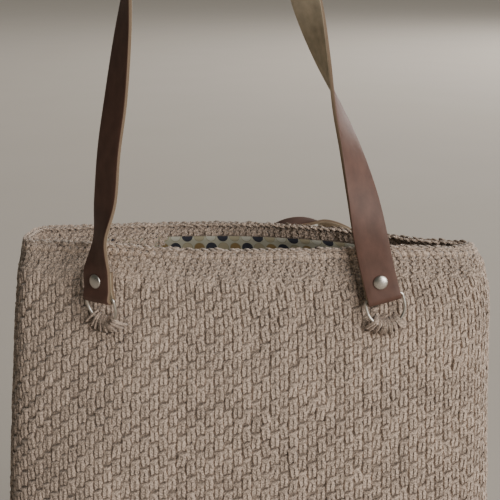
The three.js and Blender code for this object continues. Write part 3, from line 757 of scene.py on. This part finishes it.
def twisted_cotton_cord(name, colour, share):
    """Soft cotton cord of twisted plies: fuzzy and matte, with fine slanting lines of relief and painted ply
    shade, and light fibre ends.
    """
    material, tree = new_material(name)
    cord = add_node(tree, "ShaderNodeUVMap", uv_map="cord")
    place = add_node(tree, "ShaderNodeTexCoord")
    # Four plies, each turning once round the cord in 9 mm.
    lay = add_node(tree, "ShaderNodeVectorMath", {
        0: cord.outputs["UV"], 1: (4 / 9, 4, 0)}, operation="DOT_PRODUCT")
    phase = add_node(tree, "ShaderNodeMath", {0: lay.outputs["Value"], 1: 2 * math.pi}, operation="MULTIPLY")
    plies = add_node(tree, "ShaderNodeMath", {0: phase.outputs[0]}, operation="SINE")
    # Tufts of fibre about a millimetre across, and cloudy wear some centimetres wide.
    fibres = add_node(tree, "ShaderNodeTexNoise", {
        "Vector": place.outputs["Object"], "Scale": 1000, "Detail": 2, "Roughness": 0.6})
    patches = add_node(tree, "ShaderNodeTexNoise", {
        "Vector": place.outputs["Object"], "Scale": 40, "Detail": 3})
    tone = add_node(tree, "ShaderNodeAttribute", attribute_name="tone")
    # How much each of them lightens the cord. The plies paint highlight on their crowns and shade in their
    # grooves; the fibres, patches and tone vary at random.
    mixed = 0
    for lightens, weight in ((plies.outputs[0], 0.13), (fibres.outputs["Fac"], 3),
                             (patches.outputs["Fac"], 0.5), (tone.outputs["Fac"], 0.16)):
        mixed = add_node(tree, "ShaderNodeMath", {
            0: lightens, 1: weight, 2: mixed}, operation="MULTIPLY_ADD").outputs[0]
    light = add_node(tree, "ShaderNodeMapRange", {"Value": mixed, "From Min": 1.45, "From Max": 2.2})
    # Share keeps that much of the cord's colour: below 1 it paints shade, as on the backing.
    mixture = add_node(tree, "ShaderNodeMix", {
        0: light.outputs[0], 6: shaded(colour, 0.5 * share), 7: shaded(colour, 1.4 * share)},
        data_type="RGBA")
    height = add_node(tree, "ShaderNodeMath", {
        0: plies.outputs[0], 1: 0.3, 2: fibres.outputs["Fac"]}, operation="MULTIPLY_ADD")
    bump = add_node(tree, "ShaderNodeBump", {
        "Height": height.outputs[0], "Strength": 0.5, "Distance": 0.4 * MM})
    finish_material(tree, {
        "Base Color": mixture.outputs[2], "Roughness": 0.92, "Specular IOR Level": 0.2,
        "Sheen Weight": 0.3, "Sheen Roughness": 0.5, "Normal": bump.outputs["Normal"]})
    return material


def printed_cotton(settings):
    """Woven cotton with a common printed grid of dots: flat, dry and slightly grainy."""
    material, tree = new_material("printed_cotton_lining")
    cloth = add_node(tree, "ShaderNodeUVMap", uv_map="cloth")
    pitch = settings.dot_pitch / MM
    cells = add_node(tree, "ShaderNodeVectorMath", {
        0: cloth.outputs["UV"], 1: (1 / pitch, 1 / pitch, 0)}, operation="MULTIPLY")
    cell = add_node(tree, "ShaderNodeVectorMath", {0: cells.outputs[0]}, operation="FLOOR")
    inside = add_node(tree, "ShaderNodeVectorMath", {0: cells.outputs[0]}, operation="FRACTION")
    off = add_node(tree, "ShaderNodeVectorMath", {
        0: inside.outputs[0], 1: (0.5, 0.5, 0)}, operation="DISTANCE")
    # Each dot has a thin line round it.
    reach, line = settings.dot_width / settings.dot_pitch / 2, 0.05
    dot = add_node(tree, "ShaderNodeMath", {0: off.outputs["Value"], 1: reach}, operation="LESS_THAN")
    inner = add_node(tree, "ShaderNodeMath", {
        0: off.outputs["Value"], 1: reach - line}, operation="LESS_THAN")
    # Every third dot of a row is navy. The next is pale in even rows and brown in odd ones, the last beige.
    split = add_node(tree, "ShaderNodeSeparateXYZ", {0: cell.outputs[0]})
    odd = add_node(tree, "ShaderNodeMath", {0: split.outputs["Y"], 1: 2}, operation="FLOORED_MODULO")
    moved = add_node(tree, "ShaderNodeMath", {0: split.outputs["X"], 1: odd.outputs[0]}, operation="SUBTRACT")
    turn = add_node(tree, "ShaderNodeMath", {0: moved.outputs[0], 1: 3}, operation="FLOORED_MODULO")
    navy = add_node(tree, "ShaderNodeMath", {0: turn.outputs[0], 1: 0.5}, operation="LESS_THAN")
    last = add_node(tree, "ShaderNodeMath", {0: turn.outputs[0], 1: 1.5}, operation="GREATER_THAN")
    # From the dots' own colours to the ground: what chooses, and the colour where it doesn't and where it
    # does. None is the colour so far.
    ink = hexed("35363f")
    colour = None
    for chooser, without, within in (
            (odd, hexed("b4b2a6"), hexed("86704c")), (last, None, hexed("a0977f")), (navy, None, ink),
            (inner, hexed("8c8973"), None), (navy, None, ink), (dot, hexed("a9a696"), None)):
        mixed = add_node(tree, "ShaderNodeMix", {
            0: chooser.outputs[0], 6: without or colour, 7: within or colour}, data_type="RGBA")
        colour = mixed.outputs[2]
    # The weave's lines lie 0.64 mm apart on the diagonal.
    threads = add_node(tree, "ShaderNodeTexWave", {
        "Vector": cloth.outputs["UV"], "Scale": 1 / 1.44, "Distortion": 0.6}, wave_type="BANDS",
        bands_direction="DIAGONAL")
    bump = add_node(tree, "ShaderNodeBump", {
        "Height": threads.outputs["Fac"], "Strength": 0.3, "Distance": 0.1 * MM})
    finish_material(tree, {
        "Base Color": colour, "Roughness": 0.85, "Specular IOR Level": 0.25,
        "Normal": bump.outputs["Normal"]})
    return material


def leather_side(name, colour, roughness, grain_mm, depth, streak):
    """Leather seen on one of its sides: grain pores or nap of grain_mm, with soft cloudy tone."""
    material, tree = new_material(name)
    along = add_node(tree, "ShaderNodeUVMap", uv_map="strap")
    stretched = add_node(tree, "ShaderNodeVectorMath", {
        0: along.outputs["UV"], 1: (streak, 1, 1)}, operation="MULTIPLY")
    pores = add_node(tree, "ShaderNodeTexVoronoi", {
        "Vector": stretched.outputs[0], "Scale": 1 / grain_mm, "Randomness": 1}, feature="F1")
    clouds = add_node(tree, "ShaderNodeTexNoise", {
        "Vector": stretched.outputs[0], "Scale": 0.16, "Detail": 5})
    fine = add_node(tree, "ShaderNodeTexNoise", {
        "Vector": stretched.outputs[0], "Scale": 2 / grain_mm, "Detail": 3})
    blend = add_node(tree, "ShaderNodeMath", {
        0: fine.outputs["Fac"], 1: 0.4, 2: clouds.outputs["Fac"]}, operation="MULTIPLY_ADD")
    share = add_node(tree, "ShaderNodeMapRange", {
        "Value": blend.outputs[0], "From Min": 0.4, "From Max": 1.0})
    tinted = add_node(tree, "ShaderNodeMix", {
        0: share.outputs[0], 6: shaded(colour, 0.75), 7: shaded(colour, 1.3)}, data_type="RGBA")
    relief = add_node(tree, "ShaderNodeMath", {
        0: pores.outputs["Distance"], 1: fine.outputs["Fac"]}, operation="ADD")
    bump = add_node(tree, "ShaderNodeBump", {
        "Height": relief.outputs[0], "Strength": 0.35, "Distance": depth * MM})
    finish_material(tree, {
        "Base Color": tinted.outputs[2], "Roughness": roughness, "Specular IOR Level": 0.4,
        "Normal": bump.outputs["Normal"]})
    return material


def satin_nickel():
    """Nickel-plated steel, polished and then worn: soft reflections with faint wiping marks."""
    material, tree = new_material("satin_nickel_plate")
    place = add_node(tree, "ShaderNodeTexCoord")
    marks = add_node(tree, "ShaderNodeTexNoise", {
        "Vector": place.outputs["Object"], "Scale": 700, "Detail": 4})
    rough = add_node(tree, "ShaderNodeMapRange", {
        "Value": marks.outputs["Fac"], "To Min": 0.2, "To Max": 0.42})
    finish_material(tree, {
        "Base Color": hexed("c9c4bc"), "Metallic": 1.0, "Roughness": rough.outputs[0]})
    return material


# Operators

def moss_stitch(wide, row, radius):
    """One block of moss stitch: two legs under the leaf-shaped strand of the chain."""
    scale = (wide, row / DRAWN_ROW, 1)
    return pressed(joined([cord_stitch(np.array(MOSS_LEGS) * scale, radius),
                           cord_stitch(np.array(MOSS_LEAF) * scale, radius * LEAF_SHARE)]))


def pressed(stitch):
    """The same stitch pressed flat, as worked cord is by its neighbours."""
    return stitch[0] * (1, 1, PRESSED), stitch[1], stitch[2]


def even_rows(count, downs, depth):
    """Places of count stitches in each row, every other row half a stitch on."""
    rows = []
    for k, down in enumerate(downs):
        around = (np.arange(count) + 0.5 * (k % 2)) / count
        rows.append(np.stack([around, np.full(count, down), np.full(count, depth)], 1))
    return np.concatenate(rows)


def wall_mapping(cloth, length):
    """Bends a stitch onto the wall: places are shares round the bag and millimetres down it."""
    def mapping(places, across, up, out):
        points, normals = cloth.at(places[:, :1] + across / length, places[:, 1:2] - up)
        return points + normals * (out + places[:, 2:3])[..., None]
    return mapping


def row_drift(cloth, around, down):
    """Rows climb a little towards the right, where the bag's own weight pulls the left down."""
    points, _ = cloth.at(around, down)
    fade = np.clip((down - CLIMB_TOP) / CLIMB_FADE, 0, 1) * np.clip((CLIMB_FOOT - down) / CLIMB_FADE, 0, 1)
    return -ROW_CLIMB * np.clip(points[:, 0] - CLIMB_START, 0, CLIMB_SPAN) * fade


class BAG_OT_crochet_wall(bpy.types.Operator):
    """Crochet the walls in moss stitch, with plain rows under the rim"""

    bl_idname = "bag.crochet_wall"
    bl_label = "Crochet walls"

    def execute(self, context):
        settings = context.scene.bag_crochet
        rng = np.random.default_rng(settings.seed)
        cloth = WallMap()
        row, radius = settings.row_height / MM, settings.cord_radius / MM
        link = settings.edge_pitch / MM
        length = wall_length(-BAG_HEIGHT / 2)
        columns = 2 * round(length / (settings.stitch_pair / MM))
        material = twisted_cotton_cord("twisted_cotton_cord", settings.colour, 1)
        mapping = wall_mapping(cloth, length)
        moss = moss_stitch(length / columns / DRAWN_COLUMN, row, radius)
        places = []
        for k in range(int((WallMap.foot + ROWS_UNDER - FIRST_MOSS_ROW) / row)):
            j = np.arange(k % 2, columns, 2)
            around = (j + 0.5) / columns
            down = np.full(len(j), FIRST_MOSS_ROW + k * row)
            down = down + row_drift(cloth, around, down)
            places.append(np.stack([around, down, np.full(len(j), -radius * PRESSED)], 1))
        places = np.concatenate(places)
        quarter = np.floor((places[:, 0] % 1) * 4).astype(int)
        for part, name in enumerate(("front_left", "front_right", "rear_right", "rear_left")):
            crocheted("crochet_" + name, moss, places[quarter == part], mapping, material, rng, settings)

        def inwards(places, across, up, out):
            points, normals = cloth.at(places[:, :1] - across / length, places[:, 1:2] - up)
            return points - normals * (out + places[:, 2:3])[..., None]

        plain = pressed(joined([cord_stitch(PLAIN_LEGS, radius * PLAIN_LEG_SHARE),
                                cord_stitch(PLAIN_LEAF, radius * PLAIN_LEAF_SHARE)]))
        count = round(length / PLAIN_PITCH)
        # At the left of the rear wall the two low rows hide the lining's edge.
        low = even_rows(count, LOW_ROWS, LOW_OUT)
        spots, _ = cloth.at(low[:, 0], low[:, 1])
        low = low[(spots[:, 1] > 0) & (spots[:, 0] < LOW_ROWS_END)]
        for name, rows, bend in (("crochet_plain_rows", even_rows(count, PLAIN_ROWS, PLAIN_OUT), mapping),
                                 ("crochet_inner_rows", even_rows(count, INNER_ROWS, INNER_OUT), inwards),
                                 ("crochet_low_rows", low, inwards)):
            crocheted(name, plain, rows, bend, material, rng, settings)

        def on_top(places, across, up, out):
            around = places[:, :1] + across / length
            points, ahead, behind = (
                cloth.at(around + step, np.zeros_like(around))[0] for step in (0, 0.002, -0.002))
            way = ahead - behind
            side = np.stack([way[..., 1], -way[..., 0], 0 * way[..., 0]], -1)
            side /= np.linalg.norm(side, axis=-1)[..., None]
            lift = (out - TOP_CHAIN_DEPTH)[..., None] * (0, 0, 1)
            return points + side * (up * TOP_CHAIN_SPREAD - WALL / 2)[..., None] + lift

        vertices, faces, cord_map = pressed(cord_stitch(EDGE_VEE, radius * CHAIN_SHARE))
        edge = vertices * (link / DRAWN_LINK, 1, 1), faces, cord_map
        count = round(length / link)
        for name, bend, down in (("crochet_edge_chain", on_top, 0),
                                 ("crochet_front_chain", mapping, FRONT_CHAIN)):
            crocheted(name, edge, even_rows(count, (down,), CHAIN_OUT), bend, material, rng, settings)
        return {"FINISHED"}


def shell_rings(cloth, insets, downs, around):
    """Rings down the wall at an inset under the rim and another below the lining's edge."""
    rings = []
    for down in downs:
        points, normals = cloth.at(around, np.full(len(around), down))
        rings.append(points - normals * np.interp(down, (LINING_DROP, LINING_DROP + 3), insets))
    return rings


def base_rings(ring, steps):
    """Rings that shrink from a ring nearly onto the base's middle line."""
    middle = ring.copy()
    middle[:, 1] = ring[:, 1].mean()
    middle[:, 0] = np.clip(ring[:, 0] * 0.8, -BASE_SPINE, BASE_SPINE)
    return [ring + (middle - ring) * t for t in np.linspace(0, 0.98, steps)[1:]]


def ring_faces(rings, sides):
    faces = []
    for i in range(rings - 1):
        for j in range(sides):
            k = (j + 1) % sides
            faces.append([i * sides + j, (i + 1) * sides + j, (i + 1) * sides + k, i * sides + k])
    return faces


class BAG_OT_crochet_base(bpy.types.Operator):
    """Crochet the flat base in rows, and the close back of the fabric behind the stitches"""

    bl_idname = "bag.crochet_base"
    bl_label = "Crochet base"

    def execute(self, context):
        settings = context.scene.bag_crochet
        rng = np.random.default_rng(settings.seed + 1)
        row, pair, radius = settings.row_height / MM, settings.stitch_pair / MM, settings.cord_radius / MM
        vertices, faces, cord_map = moss_stitch(1, row, radius)
        foot = wall_point(np.linspace(0, 1, 240, endpoint=False), -BAG_HEIGHT + 0.01, BASE_EDGE)
        places = []
        for k, y in enumerate(np.arange(foot[:, 1].min(), foot[:, 1].max(), row)):
            xs = np.arange(foot[:, 0].min(), foot[:, 0].max(), pair) + (k % 2) * pair / 2
            places += [(x, y) for x in xs]
        places = np.array(places)
        # Stitches outside the base's rounded outline are left out.
        reach = np.abs(places[:, 0] / foot[:, 0].max()) ** BASE_POWERS[0]
        middle, half = (foot[:, 1].max() + foot[:, 1].min()) / 2, (foot[:, 1].max() - foot[:, 1].min()) / 2
        reach += np.abs((places[:, 1] - middle) / half) ** BASE_POWERS[1]
        places = places[reach < 1]

        def on_base(places, across, up, out):
            return np.stack([
                places[:, :1] + across, places[:, 1:2] + up, -BAG_HEIGHT + radius * PRESSED - out], -1)

        material = bpy.data.materials["twisted_cotton_cord"]
        # The base faces down, so its stitches are mirrored and their faces turned over.
        corners = np.cumsum([0] + [len(face) for face in faces])
        turned_map = np.concatenate([cord_map[a:b][::-1] for a, b in zip(corners[:-1], corners[1:])])
        mirrored = (vertices, [face[::-1] for face in faces], turned_map)
        crocheted("crochet_base", mirrored, places, on_base, material, rng, settings)
        self.back(settings)
        return {"FINISHED"}

    def back(self, settings):
        """The close back of the fabric, a thin shell behind the stitches of the wall and the base, coloured
        as the cord in painted shade.
        """
        cloth = WallMap()
        size = BACKING_ROUND
        around = np.linspace(0, 1, size, endpoint=False)
        downs = np.linspace(BACKING_TOP, cloth.turned_in, BACKING_RINGS)
        outer = shell_rings(cloth, BACKING_OUTER, downs, around)
        inner = shell_rings(cloth, BACKING_INNER, downs, around)
        outer += base_rings(outer[-1], 8)
        inner += base_rings(inner[-1], 8)
        rings = inner[::-1] + outer
        faces = ring_faces(len(rings), size)
        faces.append([(len(rings) - 1) * size + j for j in range(size)][::-1])
        faces.append(list(range(size)))
        # Painted shade: the backing takes the cord's colour darkened by BACKING_SHADE, standing for the shade
        # in the gaps between stitches.
        backing = twisted_cotton_cord("cotton_cord_in_shade", settings.colour, BACKING_SHADE)
        piece = mesh_piece("crochet_backing", put(np.concatenate(rings)), faces, backing)
        select_only(piece)
        face_outwards()
        dressed(piece, "bag_body")


class BAG_OT_lining(bpy.types.Operator):
    """Sew the dotted lining"""

    bl_idname = "bag.lining"
    bl_label = "Lining"

    def execute(self, context):
        settings = context.scene.bag_lining
        cloth = WallMap()
        size = LINING_ROUND
        around = np.linspace(0, 1, size, endpoint=False)
        turns = around * 2 * np.pi
        inset = WALL + LINING_GAP
        downs = np.linspace(LINING_DROP, cloth.turned_in, LINING_RINGS)
        rings = shell_rings(cloth, (inset, inset), downs, around)
        ruffle = settings.ruffle / MM
        for down, ring in zip(downs, rings):
            fine, broad, third = (np.sin(turns * waves + slant * down) for waves, slant in RUFFLE_WAVES)
            wave = fine * broad + RUFFLE_SHARE * third
            fade = min(max(down - LINING_DROP, 0) / RUFFLE_TOP, 1)
            fade *= min(max(cloth.foot - down, 0) / RUFFLE_FOOT, 1)
            _, normals = cloth.at(around, np.full(size, down))
            ring -= normals * (np.maximum(wave, -0.2) * ruffle * fade + 0.15)[:, None]
        walked = np.concatenate([[0], np.cumsum(np.linalg.norm(np.diff(rings[0], axis=0), axis=1))])
        base = base_rings(rings[-1], 10)
        rings += base
        flat_down = [*(downs + PRINT_START), *(downs[-1] + PRINT_START + 4 * np.arange(1, len(base) + 1))]
        faces = [face[::-1] for face in ring_faces(len(rings), size)]
        closing = walked[-1] + np.linalg.norm(rings[0][0] - rings[0][-1])
        # The print repeats a whole number of times round the cloth's seam.
        repeat = 3 * settings.dot_pitch / MM
        stretch = round(closing / repeat) * repeat / closing
        across = np.concatenate([walked, [closing]]) * stretch
        cloth_map = []
        for i in range(len(rings) - 1):
            for j in range(size):
                quad = [(across[j], -flat_down[i]), (across[j], -flat_down[i + 1]),
                        (across[j + 1], -flat_down[i + 1]), (across[j + 1], -flat_down[i])]
                cloth_map += quad[::-1]
        last = (len(rings) - 1) * size
        faces.append([last + j for j in range(size)])
        cloth_map += [(across[j], -flat_down[-1]) for j in range(size)]
        piece = mesh_piece("lining_cloth", put(np.concatenate(rings)), faces, printed_cotton(settings),
                           cloth_map, map_name="cloth")
        select_only(piece)
        thick = piece.modifiers.new("cloth", "SOLIDIFY")
        thick.thickness = CLOTH_THICK * MM
        thick.offset = 1
        bpy.ops.object.modifier_apply(modifier="cloth")
        dressed(piece, "lining")
        return {"FINISHED"}


class BAG_OT_ring_tabs(bpy.types.Operator):
    """Crochet the tabs that hold the rings"""

    bl_idname = "bag.ring_tabs"
    bl_label = "Ring tabs"

    def execute(self, context):
        settings = context.scene.bag_crochet
        rng = np.random.default_rng(settings.seed + 2)
        radius = settings.cord_radius / MM * FAN_SHARE
        material = bpy.data.materials["twisted_cotton_cord"]
        corner = 5
        arc = ring_outline(corner_steps=corner)[corner + 1:-corner - 1]
        for station in RING_STATIONS:
            wall, ring, _ = ring_frames(station)
            into_wall = wall.inverted() @ ring
            wires = np.array([into_wall @ Vector(point) for point in arc])
            middle = np.array(into_wall @ Vector((0, 0, RING_HALF - RING_LENGTH)))
            rays = (wires - middle) * (1, 0, 1)
            rays /= np.linalg.norm(rays, axis=1)[:, None]
            hangs_over = -1 if rays[len(rays) // 2][2] < 0 else 1
            stitches = []
            for angle in np.linspace(*FAN_ANGLES, FAN_CORDS):
                turn = hangs_over * math.radians(angle + rng.normal(0, FAN_TURN))
                away = np.array([math.cos(turn), 0, math.sin(turn)])
                wire = wires[np.argmax(rays @ away)]
                path = [
                    wire * (1, 0, 1) + away * (along + rng.normal(0, FAN_WANDER))
                    + (0, wire[1] * share - out, 0) for along, share, out in FAN_PATH]
                stitches.append(cord_stitch(path, radius))
            vertices, faces, cord_map = joined(stitches)
            placed = np.array([wall @ Vector(v) for v in vertices])
            tones = np.repeat(rng.uniform(0, 1, FAN_CORDS), len(stitches[0][0]))
            piece = mesh_piece("crochet_tab_" + station[0], put(placed), faces, material, cord_map, tones)
            dressed(piece, "ring_tab_" + station[0])
        return {"FINISHED"}


class BAG_OT_rings(bpy.types.Operator):
    """Bend the D-rings and set the rivets"""

    bl_idname = "bag.rings"
    bl_label = "Rings and rivets"

    def execute(self, context):
        material = satin_nickel()
        for station in RING_STATIONS:
            _, ring, leather = ring_frames(station)
            curve = bpy.data.curves.new("ring_wire", "CURVE")
            curve.dimensions = "3D"
            curve.bevel_depth = WIRE / 2 * MM
            curve.bevel_resolution = 4
            points = put([ring @ Vector(p) for p in ring_outline()])
            spline = curve.splines.new("POLY")
            spline.points.add(len(points) - 1)
            spline.points.foreach_set("co", np.concatenate([points, np.ones((len(points), 1))], 1).ravel())
            spline.use_cyclic_u = True
            made = bpy.data.objects.new("ring_wire_" + station[0], curve)
            context.scene.collection.objects.link(made)
            select_only(made)
            bpy.ops.object.convert(target="MESH")
            made = context.object
            made.data.materials.clear()
            made.data.materials.append(material)
            bpy.ops.object.shade_smooth()
            dressed(made, "d_ring_" + station[0])
            self.set_rivet(context, station[0], leather, material)
        return {"FINISHED"}

    def set_rivet(self, context, name, leather, material):
        """A back cap, its shank and the domed front cap, extruded from a circle as on a lathe."""
        radius, height = BACK_CAP_RADIUS * 0.75, 0
        front = BACK_CAP_HEIGHT + 2 * STACK_HALF
        bpy.ops.object.select_all(action="DESELECT")
        bpy.ops.mesh.primitive_circle_add(vertices=32, radius=radius, fill_type="NGON")
        made = context.object
        made.name = "rivet_cap_" + name
        made.data.name = made.name
        steps = [(BACK_CAP_RADIUS * 0.95, 0.35), (BACK_CAP_RADIUS, BACK_CAP_HEIGHT * 0.75),
                 (BACK_CAP_RADIUS * 0.98, BACK_CAP_HEIGHT), (SHANK_RADIUS, BACK_CAP_HEIGHT),
                 (SHANK_RADIUS, front), (CAP_RADIUS * 0.97, front), (CAP_RADIUS, front + 0.25)]
        for angle in (12, 26, 42, 58, 74, 86):
            turn = math.radians(angle)
            steps.append((CAP_RADIUS * math.cos(turn), front + 0.3 + (CAP_HEIGHT - 0.3) * math.sin(turn)))
        bpy.ops.object.mode_set(mode="EDIT")
        bpy.ops.mesh.select_all(action="SELECT")
        for to_radius, to_height in steps:
            bpy.ops.mesh.extrude_region_move(TRANSFORM_OT_translate={"value": (0, 0, to_height - height)})
            grow = to_radius / radius
            bpy.ops.transform.resize(value=(grow, grow, 1), center_override=(0, 0, to_height))
            radius, height = to_radius, to_height
        face_outwards()
        lay = (leather @ Matrix.Translation((0, 0, RIVET_RISE)) @ turned(90, "X")
               @ Matrix.Translation((0, 0, -STACK_HALF - BACK_CAP_HEIGHT)))
        for step in (lay, Matrix.Translation(Vector(ORIGIN)), Matrix.Scale(MM, 4)):
            made.data.transform(step)
        made.data.materials.append(material)
        bpy.ops.object.shade_smooth_by_angle(angle=math.radians(40))
        dressed(made, "rivet_" + name)


class BAG_OT_straps(bpy.types.Operator):
    """Cut and fold the leather straps"""

    bl_idname = "bag.straps"
    bl_label = "Straps"

    def execute(self, context):
        settings = context.scene.bag_leather
        grain = leather_side("vegetable_tanned_grain_side", settings.colour, 0.55, 0.5, 0.06, 0.6)
        edge = leather_side("leather_raw_cut_edge", hexed("74624f"), 0.8, 0.3, 0.05, 0.3)
        suede = leather_side("leather_suede_back", hexed("b3a58f"), 0.95, 0.35, 0.12, 1)
        leathers = {s[0]: (ring_frames(s)[2], s[7]) for s in RING_STATIONS}
        near = leathers["rear_left"][0].translation.y
        far = BELLY_DEPTH / 2 * 1.01 + STRAP_WIDTH / 2 + REAR_STRAP_GAP
        # Each strap: name, rows, y at share 0 and how far to share 1, height at share 1, and its two rings.
        for name, rows, plane, reach, tall, first, second in (
                ("strap_front", FRONT_STRAP, HANG_PLANE, -STRAP_REACH, HANG_HEIGHT, "front_left",
                 "front_right"),
                ("strap_rear", REAR_STRAP, near, far - near, STRAP_FALL, "rear_right", "rear_left")):
            def place_of(row):
                return RING_MIDDLE + row[0] * RING_SPAN / 2, plane + reach * row[1], row[2] * tall
            self.fold(settings, name, rows, place_of, leathers[first], leathers[second], (grain, edge, suede))
        return {"FINISHED"}

    def section(self, rounding):
        """Corners of a strap's section with rubbed edges: across the strap and towards its grain."""
        wide, thick = STRAP_WIDTH / 2, STRAP_THICK / 2
        corners = []
        for sx, sy, start in ((1, 1, 0), (-1, 1, 90), (-1, -1, 180), (1, -1, 270)):
            for k in range(4):
                angle = math.radians(start + 30 * k)
                corners.append((sx * (wide - rounding) + rounding * math.cos(angle),
                                sy * (thick - rounding) + rounding * math.sin(angle)))
            if start == 0:
                corners += [(wide * t, thick + STRAP_CROWN * (1 - t * t)) for t in (0.6, 0.2, -0.2, -0.6)]
            if start == 180:
                corners += [(wide * t, -thick) for t in (-0.6, -0.2, 0.2, 0.6)]
        return np.array(corners)

    def fold(self, settings, name, rows, place_of, start, end, materials):
        middles, acrosses, ways = strap_line(rows, place_of, start, end)
        section = self.section(settings.edge_round / MM)
        sides, count = len(section), len(middles)
        made = extruded_tube(sides, count - 1)
        rings, sided, faces = tube_parts(made, sides)
        middles, acrosses = np.array(middles), np.array(acrosses)
        grains = np.cross(acrosses, np.array(ways))
        grains /= np.linalg.norm(grains, axis=1)[:, None]
        points = middles[rings] + acrosses[rings] * section[sided, :1] + grains[rings] * section[sided, 1:]
        made.data.vertices.foreach_set("co", put(points).ravel())
        made.name = made.data.name = name + "_leather"
        walked = np.concatenate([[0], np.cumsum(np.linalg.norm(np.diff(middles, axis=0), axis=1))])
        layer = made.data.uv_layers.new(name="strap")
        # Each side's own stretch of the map, and the material's number: grain 0, cut edge 1, suede 2.
        uv, slots = [], []
        for face in faces:
            corners = section[sided[face]]
            uv += list(zip(walked[rings[face]], corners[:, 0] + SUEDE_MAP_START * (corners[:, 1] < 0)))
            mean = corners.mean(0)
            if len(face) != 4 or abs(mean[0]) > STRAP_WIDTH / 2 - settings.edge_round / MM * 0.3:
                slots.append(1)
            else:
                slots.append(0 if mean[1] > 0 else 2)
        layer.data.foreach_set("uv", np.array(uv, np.float32).ravel())
        for material in materials:
            made.data.materials.append(material)
        made.data.polygons.foreach_set("material_index", slots)
        made.data.update()
        select_only(made)
        face_outwards()
        bpy.ops.object.shade_smooth_by_angle(angle=math.radians(50))
        dressed(made, name)


class BAG_OT_stage(bpy.types.Operator):
    """Set the floor, the lights and the camera"""

    bl_idname = "bag.stage"
    bl_label = "Stage"

    def execute(self, context):
        bpy.ops.object.select_all(action="DESELECT")
        bpy.ops.mesh.primitive_plane_add(size=80, location=(0, 20, FLOOR_LEVEL))
        floor = context.object
        floor.name = "floor"
        material, tree = new_material("painted_floor")
        place = add_node(tree, "ShaderNodeTexCoord")
        mottle = add_node(tree, "ShaderNodeTexNoise", {
            "Vector": place.outputs["Object"], "Scale": 3, "Detail": 3})
        colour = add_node(tree, "ShaderNodeMix", {
            0: mottle.outputs["Fac"], 6: hexed("bdb5aa"), 7: hexed("c2bab0")}, data_type="RGBA")
        finish_material(tree, {"Base Color": colour.outputs[2], "Roughness": 0.9})
        floor.data.materials.append(material)
        for kind, name, spot, aim, size, power, tint in LIGHTS:
            bpy.ops.object.light_add(type=kind, location=spot)
            light = context.object
            light.name = name
            setattr(light.data, "angle" if kind == "SUN" else "size", size)
            light.data.energy = power
            light.data.color = tint
            self.turn_to(light, spot, aim)
        world = bpy.data.worlds.new("soft_room")
        world.use_nodes = True
        background = world.node_tree.nodes["Background"].inputs
        background["Color"].default_value = hexed("bebeb2")
        background["Strength"].default_value = 0.17
        context.scene.world = world
        bpy.ops.object.camera_add(location=CAMERA_SPOT)
        camera = context.object
        camera.name = "photo_camera"
        camera.data.lens = CAMERA_LENS
        camera.data.sensor_width = 36
        camera.data.clip_end = 200
        self.turn_to(camera, CAMERA_SPOT, CAMERA_AIM)
        context.scene.camera = camera
        return {"FINISHED"}

    def turn_to(self, thing, spot, aim):
        way = Vector(aim) - Vector(spot)
        thing.rotation_euler = way.to_track_quat("-Z", "Y").to_euler()


class BAG_PT_panel(bpy.types.Panel):
    """Steps of making the bag, in order"""

    bl_idname = "BAG_PT_panel"
    bl_label = "Crocheted bag"
    bl_space_type = "VIEW_3D"
    bl_region_type = "UI"
    bl_category = "Bag"

    def draw(self, context):
        for settings in ("bag_crochet", "bag_lining", "bag_leather"):
            group = getattr(context.scene, settings)
            for name in group.__annotations__:
                self.layout.prop(group, name)
        for step in STEPS:
            self.layout.operator(step.bl_idname)


STEPS = (
    BAG_OT_crochet_wall, BAG_OT_crochet_base, BAG_OT_lining, BAG_OT_ring_tabs, BAG_OT_rings, BAG_OT_straps,
    BAG_OT_stage,
)
CLASSES = (CrochetSettings, LiningSettings, LeatherSettings, *STEPS, BAG_PT_panel)


def register():
    for cls in CLASSES:
        bpy.utils.register_class(cls)
    bpy.types.Scene.bag_crochet = PointerProperty(type=CrochetSettings)
    bpy.types.Scene.bag_lining = PointerProperty(type=LiningSettings)
    bpy.types.Scene.bag_leather = PointerProperty(type=LeatherSettings)


def unregister():
    del bpy.types.Scene.bag_crochet
    del bpy.types.Scene.bag_lining
    del bpy.types.Scene.bag_leather
    for cls in reversed(CLASSES):
        bpy.utils.unregister_class(cls)


def main():
    """Makes the bag and its stage, step by step."""
    register()
    bpy.ops.bag.crochet_wall()
    bpy.ops.bag.crochet_base()
    bpy.ops.bag.lining()
    bpy.ops.bag.ring_tabs()
    bpy.ops.bag.rings()
    bpy.ops.bag.straps()
    bpy.ops.bag.stage()
    bpy.context.view_layer.update()


if __name__ == "__main__":
    main()
